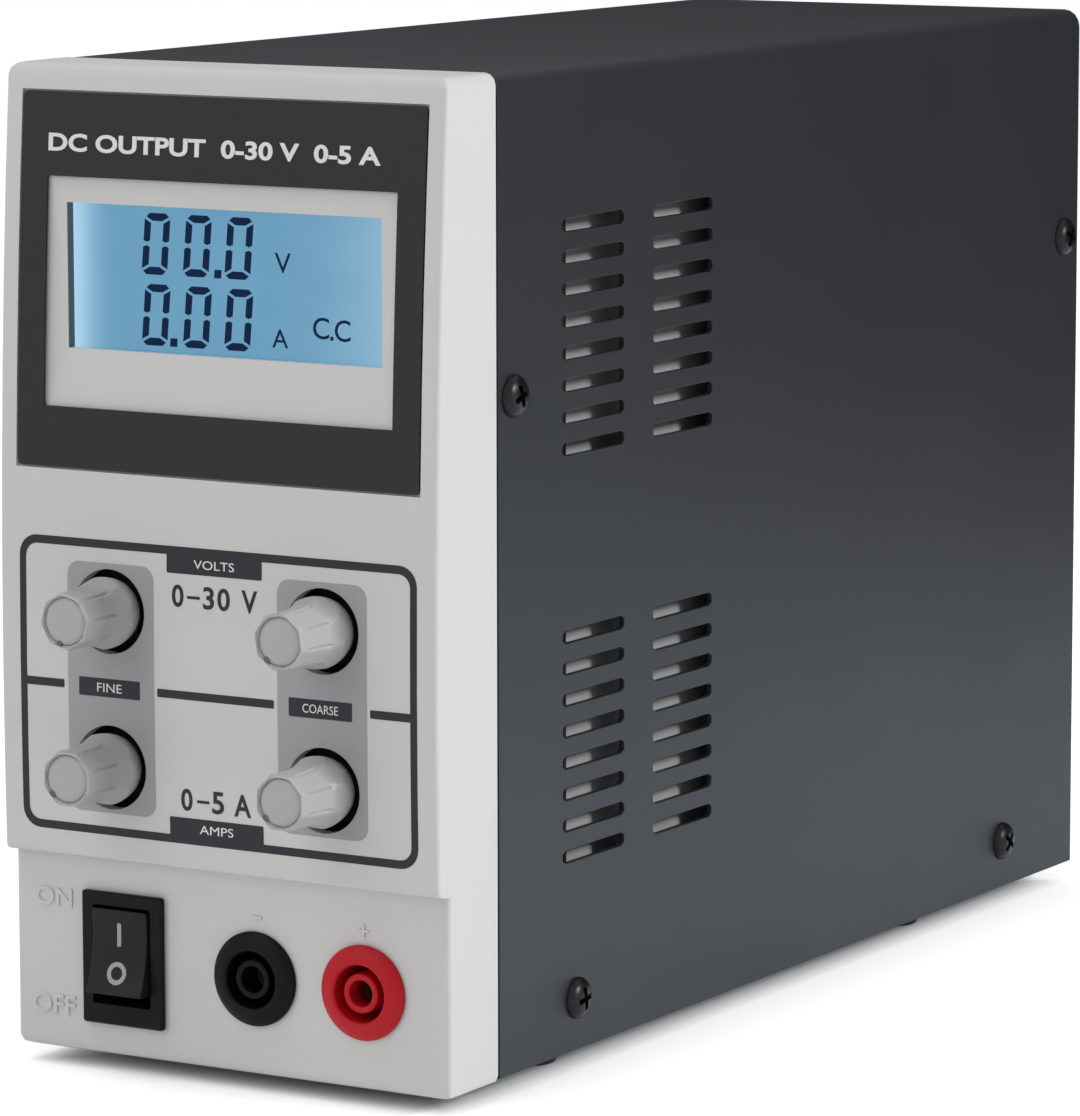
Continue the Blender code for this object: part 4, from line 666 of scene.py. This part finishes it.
rating_print = thin_plate([ratings], on_face(RATING_COAT), on_face(INK_ROOT))
fit("label_ratings", rating_print, white_ink, "case")


# Control markings
# Screen print on the upper face: a dark frame with four tabs, a divider, two grey bands behind
# the knobs and the plain ranges. The switch and socket marks are raised in the moulding.


def circle(x, z, radius, sides=72):
    return [(x + radius * math.cos(2 * math.pi * k / sides), z + radius * math.sin(2 * math.pi * k / sides))
            for k in range(sides)]


dark_ink = finish("dark_ink", grain, {
    "Colour": (0.020, 0.021, 0.024, 1), "Roughness": 0.5, "Colour spread": 0.12}, 0,
    Specular_IOR_Level=0.25)
band_ink = finish("band_ink", grain, {
    "Colour": (0.355, 0.355, 0.366, 1), "Roughness": 0.5, "Colour spread": 0.05}, 0)
BAND_COAT, FRAME_COAT, FIGURE_COAT, TAB_COAT, WORD_COAT = -0.02, -0.025, -0.03, -0.04, -0.055
BAND_HALF, BAND_LOW, BAND_HIGH = 8.05, 38.6, 77.7
HOLE = 6.60
bands = []
for middle in (-19.2, 19.5):
    band = rounded(middle - BAND_HALF, middle + BAND_HALF, BAND_LOW, BAND_HIGH, 2.2)
    holes = [circle(x, z, HOLE) for x, z in KNOBS.values() if x * middle > 0]
    bands.append(follow_bulge(filled(band, *holes)))
fit("knob_bands", thin_plate(bands, on_face(BAND_COAT), on_face(INK_ROOT)), band_ink, "case")

DIVIDER_LOW, DIVIDER_HIGH = 57.65, 58.95
DIVIDERS = ((-35.4, -28.0), (-10.6, 10.8), (28.1, 35.4))
frame_lines = [filled(rounded(-36.25, 36.4, 35.1, 81.25, 3.2), rounded(-35.05, 35.2, 36.4, 79.95, 2.1))]
frame_lines += [filled(rounded(x0, x1, DIVIDER_LOW, DIVIDER_HIGH, 0.2)) for x0, x1 in DIVIDERS]
frame_print = thin_plate([follow_bulge(f) for f in frame_lines], on_face(FRAME_COAT), on_face(INK_ROOT))
fit("control_frame", frame_print, dark_ink, "case")

# Box of each tab in x and z, its word, and half the word's width.
TABS = {"volts": (-8.7, 8.7, 77.1, 80.3, "VOLTS", 3.7), "amps": (-8.6, 8.6, 36.0, 39.2, "AMPS", 3.1),
        "fine": (-25.2, -13.8, 56.8, 59.7, "FINE", 2.3), "coarse": (13.5, 24.9, 56.8, 59.7, "COARSE", 3.2)}
WORD_HALF = 0.68
for word, (x0, x1, z0, z1, text, wide) in TABS.items():
    tab = thin_plate([filled(rounded(x0, x1, z0, z1, 0.25))], on_face(TAB_COAT), on_face(INK_ROOT))
    fit("tab_" + word, tab, dark_ink, "case")
    centre, height = (x0 + x1) / 2, (z0 + z1) / 2
    flat = letters(text, centre - wide, centre + wide, height - WORD_HALF, height + WORD_HALF)
    fit("tab_word_" + word, thin_plate([flat], on_face(WORD_COAT), on_face(0.0)), white_ink, "case")
# Heights of each range, then its figures with their left and right edges.
RANGES = {(71.9, 75.4): (("0", -7.75, -5.6), ("dash", -4.95, -2.6), ("3", -2.0, 0.0), ("0", 0.6, 2.9),
                         ("V", 5.0, 7.9)),
          (40.3, 43.8): (("0", -6.45, -4.35), ("dash", -3.5, -1.25), ("5", -0.75, 1.45), ("A", 3.3, 6.4))}
DASH_BELOW, DASH_ABOVE = 0.33, 0.12
range_shapes = []
for (z0, z1), figures in RANGES.items():
    middle = (z0 + z1) / 2
    for figure, x0, x1 in figures:
        if figure == "dash":
            range_shapes.append(filled(rounded(x0, x1, middle - DASH_BELOW, middle + DASH_ABOVE, 0.05)))
        else:
            range_shapes.append(letters(figure, x0, x1, z0, z1, 0.02))
range_print = thin_plate(range_shapes, on_face(FIGURE_COAT), on_face(INK_ROOT))
fit("range_figures", range_print, dark_ink, "case")

LEDGE_Y, MARK_RISE, MARK_ROOT = -14.4, 0.32, 0.1
marks = [letters("ON", -36.2, -29.3, 22.2, 25.1, 0.012), letters("OFF", -37.0, -28.9, 4.9, 8.0, 0.012),
         letters("-", 4.2, 6.2, 24.0, 24.4), letters("+", 23.7, 25.7, 23.2, 25.2)]
raised = thin_plate(marks, level_at(LEDGE_Y - MARK_RISE), level_at(LEDGE_Y + MARK_ROOT))
fit("raised_marks", raised, abs_grey, "case")


# Output sockets
# Two shrouded 4 mm safety sockets, black and red nylon, clamped by brass nuts behind the
# ledge; a short insulated lead runs from each tail to the power board.

moulded_red = finish("moulded_red", grain, {
    "Colour": (0.50, 0.006, 0.014, 1), "Roughness": 0.40, "Grain per m": 2600.0, "Colour spread": 0.12},
    0.012, Specular_IOR_Level=0.22)
brass = finish("turned_brass", lines, {
    "Colour": (0.26, 0.19, 0.10, 1), "Roughness": 0.45, "Stretch": (1500, 200, 1500)}, 0.006, Metallic=1.0)
socket_black = finish("socket_black", grain, {
    "Colour": (0.0034, 0.0034, 0.0036, 1), "Roughness": 0.40, "Grain per m": 2600.0, "Colour spread": 0.3},
    0.012, Specular_IOR_Level=0.10)
SOCKET_Z = 14.6
SOCKETS = {"black": (5.0, socket_black, "black_plastic"), "red": (24.7, moulded_red, "red_plastic")}
# Outlines to turn, as radius and y.
SHELL = [(7.45, -14.45), (7.40, -15.15), (6.3, -15.9), (4.85, -16.3), (4.45, -15.95), (4.45, 2.7),
         (3.1, 2.7), (3.1, -15.6), (2.05, -15.6), (2.05, -12.6), (2.62, -12.6), (2.62, 5.7), (5.8, 5.7),
         (5.8, -14.45)]
CONTACT = [(0, 13.0), (0, 3.0), (1.9, 1.9), (2.0, -10.6), (2.15, -10.8), (2.3, -10.7), (2.3, 6.0),
           (3.7, 6.0), (3.7, 7.2), (1.5, 7.2), (1.5, 13.0)]
for word, (x, skin, slot_name) in SOCKETS.items():
    shell = lathe(softened(SHELL, 0.35), 72, "Y", (x, SOCKET_Z))
    fit(word + "_socket", shell, skin, "case", [word + "_socket_shell"])
    contact = lathe(CONTACT, 48, "Y", (x, SOCKET_Z))
    fit(word + "_contact", contact, brass, "case", [word + "_socket_contact"])
    dress(word + "_socket_nut", brass, 0.2)
    dress("output_lead_" + word, skin)


# Power switch
# Snap-in rocker switch: a black nylon shell with a chamfered rim and a sill below the rocker. The
# hollowed rocker swings on two side pins; its on and off signs are printed in white.

switch_black = finish("switch_black", grain, {
    "Colour": (0.0055, 0.0053, 0.0053, 1), "Roughness": 0.45, "Grain per m": 2600.0, "Colour spread": 0.3},
    0.012, Specular_IOR_Level=0.11)
dress("switch_housing", switch_black, 0.06)
PIVOT = Vector((-19.3, -11.6, 15.0))
REST_ANGLE, RIM_ANGLE = math.radians(-9), math.radians(35)
REST_TILT = Matrix.Translation(PIVOT) @ Matrix.Rotation(REST_ANGLE, 4, "X")
ROCKER_HALF, ROCKER_REACH, FACE_MIDDLE, FACE_RISE = 5.1, 7.2, 4.9, 1.140
ROCKER_LOW, ROCKER_HIGH, FACE_STEPS = -6.1, 7.25, 24
HUB_DEPTH, HUB_HALF, END_DRAFT = 1.5, 2.2, 0.4
SILL = (-24.9, -13.7, -15.69, -12.5, 6.2, 7.75)
fit("switch_sill", eased_block(*SILL, 0.12), switch_black, "case")


def rocker_face(z):
    """Hollowed face of the rocker at a height from its pivot."""
    return -(FACE_MIDDLE + FACE_RISE * (z / ROCKER_REACH) ** 2)


heights = [ROCKER_LOW + (ROCKER_HIGH - ROCKER_LOW) * k / FACE_STEPS for k in range(FACE_STEPS + 1)]
outline = [(rocker_face(z), z) for z in heights]
outline += [(-HUB_DEPTH, ROCKER_HIGH - END_DRAFT), (HUB_DEPTH, HUB_HALF), (HUB_DEPTH, -HUB_HALF),
            (-HUB_DEPTH, ROCKER_LOW + END_DRAFT)]
rocker = bmesh.new()
flanks = [[rocker.verts.new((x, y, z)) for y, z in outline] for x in (-ROCKER_HALF, ROCKER_HALF)]
rocker.faces.new(flanks[0])
rocker.faces.new(list(reversed(flanks[1])))
for i in range(len(outline)):
    k = (i + 1) % len(outline)
    rocker.faces.new((flanks[0][i], flanks[1][i], flanks[1][k], flanks[0][k]))
bmesh.ops.recalc_face_normals(rocker, faces=rocker.faces)
rocker.normal_update()
rim = [e for e in rocker.edges if e.calc_face_angle(0) > RIM_ANGLE]
bmesh.ops.bevel(rocker, geom=rim, offset=0.2, segments=3, profile=0.5, affect="EDGES")
rocker_black = finish("rocker_black", grain, {
    "Colour": (0.0085, 0.0082, 0.0083, 1), "Roughness": 0.45, "Grain per m": 2600.0, "Colour spread": 0.3},
    0.012, Specular_IOR_Level=0.18)
fit("rocker_key", rocker, rocker_black, "rocker", ["switch_rocker"], 40,
    TO_FRAME @ REST_TILT)
sign_ink = finish("sign_ink", grain, {
    "Colour": (0.36, 0.36, 0.355, 1), "Roughness": 0.5, "Colour spread": 0.1}, 0)
RING_Z, RING_OUTER, RING_INNER = -2.65, 1.78, 1.05
SIGN_RISE, SIGN_ROOT = 0.03, 0.08
signs = [filled(rounded(-0.36, 0.36, 1.55, 5.2, 0.1)),
         filled(circle(0, RING_Z, RING_OUTER), circle(0, RING_Z, RING_INNER))]
sign_print = thin_plate([follow_bulge(s, 0.5) for s in signs], lambda x, z: rocker_face(z) - SIGN_RISE,
                        lambda x, z: rocker_face(z) + SIGN_ROOT)
fit("rocker_signs", sign_print, sign_ink, "rocker", (), 40, TO_FRAME @ REST_TILT)


# Knobs
# Four collet-style knobs of pale grey plastic: eight tapered flats, with a fine groove at each
# corner, run out into a round skirt. A push-in cap closes the front; a dark dot points to the setting.

TIP_Y = -29.7
FACET = math.pi / 8
BODY, BODY_TAPER = 4.50, 0.03
FLARE_FROM, FLARE_LENGTH, SKIRT = 6.6, 3.4, 5.60
HEM_FROM, HEM_CURVE = 9.9, 0.060
FLAT, FLAT_TAPER, FLAT_CURVE_FROM, FLAT_CURVE = 4.20, 0.025, 4.6, 0.030
BLEND = 0.06
GROOVE, GROOVE_WIDTH = 0.38, 0.23
GROOVE_FROM, GROOVE_FADE_IN, GROOVE_TO, GROOVE_FADE_OUT = 1.5, 0.7, 8.6, 1.6
NOSE, NOSE_ROUND = 0.5, 0.30
NOSE_DEPTHS, GRIP_LENGTH, GRIP_STEPS = [0, 0.07, 0.16, 0.3, NOSE], 11.8, 32
HEM_DEPTHS = [12.7, 13.0, 13.4]
# Depth and radius of the rings inside the grip: bore, core, then the seat of the cap.
BORE_RINGS = [(13.4, 3.4), (3.3, 3.4), (3.3, 0.0)]
SEAT_RINGS = [(0.9, 0.0), (0.9, 3.72), (0.50, 3.73), (0.06, 3.98)]
CAP_OUTLINE = [(0, 0.03), (1.6, 0.06), (3.0, 0.15), (3.69, 0.50), (3.70, 0.85), (0, 0.85)]
DOT_REACH, DOT_RADIUS, DOT_TOP, DOT_ROOT = 3.55, 0.48, 0.16, 0.60
POINTERS = {"voltage_fine": 254, "voltage_coarse": 233, "current_fine": 223, "current_coarse": 224}
pale_grey = finish("pale_grey_plastic", grain, {
    "Colour": (0.435, 0.433, 0.428, 1), "Roughness": 0.42, "Grain per m": 3000.0, "Colour spread": 0.03},
    0.006)
dot_ink = finish("pointer_ink", grain, {
    "Colour": (0.11, 0.105, 0.10, 1), "Roughness": 0.5, "Colour spread": 0.2}, 0)


def knob_radius(depth, turn):
    """Radius of the grip at a depth behind its tip and an angle from the middle of a flat."""
    body = BODY + BODY_TAPER * depth
    if depth > FLARE_FROM:
        flare = min((depth - FLARE_FROM) / FLARE_LENGTH, 1.0)
        body += (SKIRT - body) * flare * flare * (3 - 2 * flare)
    if depth > HEM_FROM:
        body -= HEM_CURVE * (depth - HEM_FROM) ** 2
    apothem = FLAT + FLAT_TAPER * depth + FLAT_CURVE * max(depth - FLAT_CURVE_FROM, 0) ** 2
    off_flat = (turn + FACET) % (2 * FACET) - FACET
    flat = apothem / math.cos(off_flat)
    gap = max(BLEND - abs(body - flat), 0.0) / BLEND
    radius = min(body, flat) - gap * gap * BLEND / 4
    fade_in = min(max((depth - GROOVE_FROM) / GROOVE_FADE_IN, 0.0), 1.0)
    fade_out = min(max((GROOVE_TO - depth) / GROOVE_FADE_OUT, 0.0), 1.0)
    from_corner = (FACET - abs(off_flat)) * radius
    radius -= GROOVE * (fade_in * fade_out) * math.exp(-((from_corner / GROOVE_WIDTH) ** 2))
    if depth < NOSE:
        radius -= NOSE_ROUND * (1 - depth / NOSE) ** 2
    return radius


def knob_grip(x, z, pointer, sides=128):
    """Grip with a bevelled seat for the cap in front and a bore for the shaft behind."""
    bm = bmesh.new()
    turns = [2 * math.pi * k / sides for k in range(sides)]
    depths = NOSE_DEPTHS + [NOSE + GRIP_LENGTH * k / GRIP_STEPS for k in range(1, GRIP_STEPS + 1)]
    depths += HEM_DEPTHS
    rings = [[(d, knob_radius(d, t)) for t in turns] for d in depths]
    rings += [[(d, r)] * sides for d, r in BORE_RINGS + SEAT_RINGS]
    made = [[bm.verts.new((x + r * math.cos(t + pointer), TIP_Y + d, z + r * math.sin(t + pointer)))
             for t, (d, r) in zip(turns, ring)] for ring in rings]
    core = made[len(depths) + len(BORE_RINGS) - 1]
    for low, high in zip(made, made[1:] + made[:1]):
        if low is core:
            continue
        for k in range(sides):
            m = (k + 1) % sides
            bm.faces.new((low[k], low[m], high[m], high[k]))
    bmesh.ops.remove_doubles(bm, verts=bm.verts, dist=MERGE)
    bmesh.ops.delete(bm, geom=[e for e in bm.edges if not e.link_faces], context="EDGES")
    return bm


for spot, (x, z) in KNOBS.items():
    body = "knob_" + spot
    turn = math.radians(POINTERS[spot])
    fit("grip_" + spot, knob_grip(x, z, turn), pale_grey, body, ["knob_" + spot], 28)
    cap = lathe(softened([(r, TIP_Y + d) for r, d in CAP_OUTLINE], 0.3), 64, "Y", (x, z))
    fit("grip_cap_" + spot, cap, pale_grey, body, ["knob_cap_" + spot], 40)
    dot = filled(circle(x + DOT_REACH * math.cos(turn), z + DOT_REACH * math.sin(turn), DOT_RADIUS, 20))
    pointer = thin_plate([dot], level_at(TIP_Y + DOT_TOP), level_at(TIP_Y + DOT_ROOT))
    fit("pointer_" + spot, pointer, dot_ink, body)


# Cover and case screws
# The cover is one bent sheet of 1 mm steel in satin paint, with stamped vents in both sides;
# eight black cross-head screws hold it to the panel lugs, the rear panel and the tray.

dress("cover", satin_paint, 0.10)
CASE_HALF = 40.0
CASE_SCREWS = {"front": (4.4, 104.9), "rear": (194.2, 114.0), "low_front": (23.3, 8.3),
               "low_rear": (172.0, 8.3)}
CASE_SCREW_TURN, CASE_SCREW_STEP = 0.35, 0.7
for turn, (spot, (y, z)) in enumerate(CASE_SCREWS.items()):
    for word, side in (("left", math.pi), ("right", 0.0)):
        seat = TO_FRAME @ Matrix.Translation((math.copysign(CASE_HALF, math.cos(side)), y, z)) \
            @ Matrix.Rotation(side, 4, "Z") \
            @ Matrix.Rotation(CASE_SCREW_TURN + CASE_SCREW_STEP * turn, 4, "X")
        screw = cross_screw(head=3.3, height=1.75, shank=1.45, length=4.6)
        fit(f"case_screw_{spot}_{word}", screw, black_zinc, "case",
            [f"screw_{spot}_{word}"], 35, seat)


# Studio
# White paper under a small key lamp from the right, a broad fill from the front left, a soft lamp
# overhead and an even pale surround. The paper's colour carries a painted shadow that deepens by
# depth under the case, and its glow to the camera fades near the case as painted contact shade.

floor_mesh = bpy.data.meshes.new("studio_floor")
FLOOR_HALF = 6.0
corners = [(FLOOR_HALF * x, FLOOR_HALF * y, 0) for x, y in ((-1, -1), (1, -1), (1, 1), (-1, 1))]
floor_mesh.from_pydata(corners, [], [(0, 1, 2, 3)])
floor = bpy.data.objects.new("studio_floor", floor_mesh)
bpy.context.scene.collection.objects.link(floor)
paper, tree, _ = new_material("white_paper")
tree.nodes.clear()


def seen_directly(tree):
    """1 for rays from the camera, mirrors and glass; 0 for rays that only carry light."""
    rays = node(tree, "ShaderNodeLightPath").outputs
    first = node(tree, "ShaderNodeMath", {0: rays["Is Camera Ray"], 1: rays["Is Glossy Ray"]},
                 operation="MAXIMUM")
    return node(tree, "ShaderNodeMath", {0: first.outputs[0], 1: rays["Is Transmission Ray"]},
                operation="MAXIMUM").outputs[0]


PAPER_DARK, PAPER_LIGHT, PAPER_GLOW = 0.87, 0.89, 0.68
SHADE_FROM, SHADE_TO, SHADE_LEFT = -0.0025, -0.010, 0.10
CREVICE_REACH, CREVICE_POWER = 0.030, 0.65
WHITE, COOL_WHITE = (1, 1, 1, 1), (0.91, 0.985, 1.14, 1)
CASE_END = 200
fibre = node(tree, "ShaderNodeTexNoise", {"Scale": 40.0})
tone = node(tree, "ShaderNodeMapRange", {
    "Value": fibre.outputs[0], "To Min": PAPER_DARK, "To Max": PAPER_LIGHT})
under_front = TO_FRAME @ Vector((-CASE_HALF, LEDGE_Y, 0))
under_rear = TO_FRAME @ Vector((CASE_HALF, CASE_END, 0))
where = node(tree, "ShaderNodeTexCoord").outputs["Object"]
from_middle = node(tree, "ShaderNodeVectorMath", {
    0: where, 1: (under_front + under_rear) / 2}, operation="SUBTRACT")
each_way = node(tree, "ShaderNodeVectorMath", {0: from_middle.outputs[0]}, operation="ABSOLUTE")
past_edge = node(tree, "ShaderNodeVectorMath", {
    0: each_way.outputs[0], 1: (under_rear - under_front) / 2}, operation="SUBTRACT")
past = node(tree, "ShaderNodeSeparateXYZ", {0: past_edge.outputs[0]})
reach = node(tree, "ShaderNodeMath", {0: past.outputs["X"], 1: past.outputs["Y"]}, operation="MAXIMUM")
# Painted shadow: the paper's colour darkens by how far a point lies under the case's footprint.
painted_shadow_under_case = node(tree, "ShaderNodeMapRange", {
    "Value": reach.outputs[0], "From Min": SHADE_TO, "From Max": SHADE_FROM, "To Min": SHADE_LEFT})
# Painted contact shade: the paper's glow to the camera fades where occlusion near the case is high.
open_floor = node(tree, "ShaderNodeAmbientOcclusion", {"Distance": CREVICE_REACH}, samples=8)
shaded = node(tree, "ShaderNodeMath", {0: tone.outputs[0], 1: painted_shadow_under_case.outputs[0]}, operation="MULTIPLY")
matte = node(tree, "ShaderNodeBsdfDiffuse", {"Color": shaded.outputs[0]})
painted_contact_shade = node(tree, "ShaderNodeMath", {0: open_floor.outputs["AO"], 1: CREVICE_POWER}, operation="POWER")
shown = node(tree, "ShaderNodeMath", {0: seen_directly(tree), 1: PAPER_GLOW}, operation="MULTIPLY")
lift = node(tree, "ShaderNodeMath", {0: shown.outputs[0], 1: painted_contact_shade.outputs[0]}, operation="MULTIPLY")
# Painted reflection: the paper's glow turns cool white in mirror rays only, so reflections of the floor look
# bluish.
mirrored = node(tree, "ShaderNodeLightPath").outputs["Is Glossy Ray"]
cool_sheen = node(tree, "ShaderNodeMix", {"Factor": mirrored, "A": WHITE, "B": COOL_WHITE}, data_type="RGBA")
glow = node(tree, "ShaderNodeEmission", {"Color": cool_sheen.outputs["Result"], "Strength": lift.outputs[0]})
sum_up = node(tree, "ShaderNodeAddShader", {0: matte.outputs[0], 1: glow.outputs[0]})
node(tree, "ShaderNodeOutputMaterial", {"Surface": sum_up.outputs[0]})
floor_mesh.materials.append(paper)

world = bpy.data.worlds.new("studio")
bpy.context.scene.world = world
world.use_nodes = True
tree = world.node_tree
tree.nodes.clear()
SURROUND_LIGHT = 0.34
level = node(tree, "ShaderNodeMapRange", {
    "Value": seen_directly(tree), "To Min": SURROUND_LIGHT, "To Max": 1.0})
surround = node(tree, "ShaderNodeBackground", {"Color": WHITE, "Strength": level.outputs[0]})
node(tree, "ShaderNodeOutputWorld", {"Surface": surround.outputs[0]})


def lamp(name, place, target, size, power):
    light = bpy.data.lights.new(name, "AREA")
    light.shape = "SQUARE"
    light.size = size
    light.energy = power
    made = bpy.data.objects.new(name, light)
    made.location = place
    made.rotation_euler = (Vector(target) - Vector(place)).to_track_quat("-Z", "Y").to_euler()
    bpy.context.scene.collection.objects.link(made)


MIDDLE = (0, 0, 0.08)
lamp("key_lamp", (1.37, 0.20, 0.68), MIDDLE, size=0.25, power=13.5)
lamp("fill_lamp", (-0.55, -1.55, 1.00), MIDDLE, size=1.4, power=7.6)
lamp("top_lamp", (-0.35, -0.45, 1.30), MIDDLE, size=0.5, power=3.4)

# Dark studio drape behind the object, seen only in its reflections.
drape_mesh = bpy.data.meshes.new("studio_drape")
DRAPE_RADIUS, DRAPE_LOW, DRAPE_HIGH = 0.43, 0.002, 0.5
DRAPE_FROM, DRAPE_STEP, DRAPE_POINTS = 20, 7, 21
bearings = [math.radians(DRAPE_FROM + DRAPE_STEP * k) for k in range(DRAPE_POINTS)]
hem = [(DRAPE_RADIUS * math.cos(a), DRAPE_RADIUS * math.sin(a), DRAPE_LOW) for a in bearings]
rail = [(x, y, DRAPE_HIGH) for x, y, _ in hem]
panels = [(k, k + 1, DRAPE_POINTS + k + 1, DRAPE_POINTS + k) for k in range(DRAPE_POINTS - 1)]
drape_mesh.from_pydata(hem + rail, [], panels)
drape = bpy.data.objects.new("studio_drape", drape_mesh)
bpy.context.scene.collection.objects.link(drape)
felt, tree, shader = new_material("dark_felt")
nap = node(tree, "ShaderNodeTexNoise", {"Scale": 300.0})
dark = node(tree, "ShaderNodeMapRange", {"Value": nap.outputs[0], "To Min": 0.03, "To Max": 0.05})
tree.links.new(dark.outputs[0], shader.inputs["Base Color"])
shader.inputs["Roughness"].default_value = 1.0
drape_mesh.materials.append(felt)
drape.visible_camera = False
drape.visible_diffuse = False
drape.visible_transmission = False
drape.visible_shadow = False

camera_data = bpy.data.cameras.new("camera")
camera_data.sensor_fit = "VERTICAL"
SENSOR, FOCAL_PIXELS, PICTURE_PIXELS = 36.0, 5991.0, 1116.0
camera_data.sensor_height = SENSOR
camera_data.lens = FOCAL_PIXELS * SENSOR / PICTURE_PIXELS
camera = bpy.data.objects.new("camera", camera_data)
CAMERA_PLACE = (0.5046, -0.8526, 0.2151)
CAMERA_TURN, CAMERA_RISE, CAMERA_ROLL = math.radians(30.8104), math.radians(8.3083), math.radians(-0.0872)
camera.matrix_world = Matrix.Translation(CAMERA_PLACE) @ Matrix.Rotation(CAMERA_TURN, 4, "Z") \
    @ Matrix.Rotation(math.pi / 2 - CAMERA_RISE, 4, "X") @ Matrix.Rotation(CAMERA_ROLL, 4, "Z")
bpy.context.scene.collection.objects.link(camera)
bpy.context.scene.camera = camera
bpy.context.scene.view_settings.view_transform = "Standard"
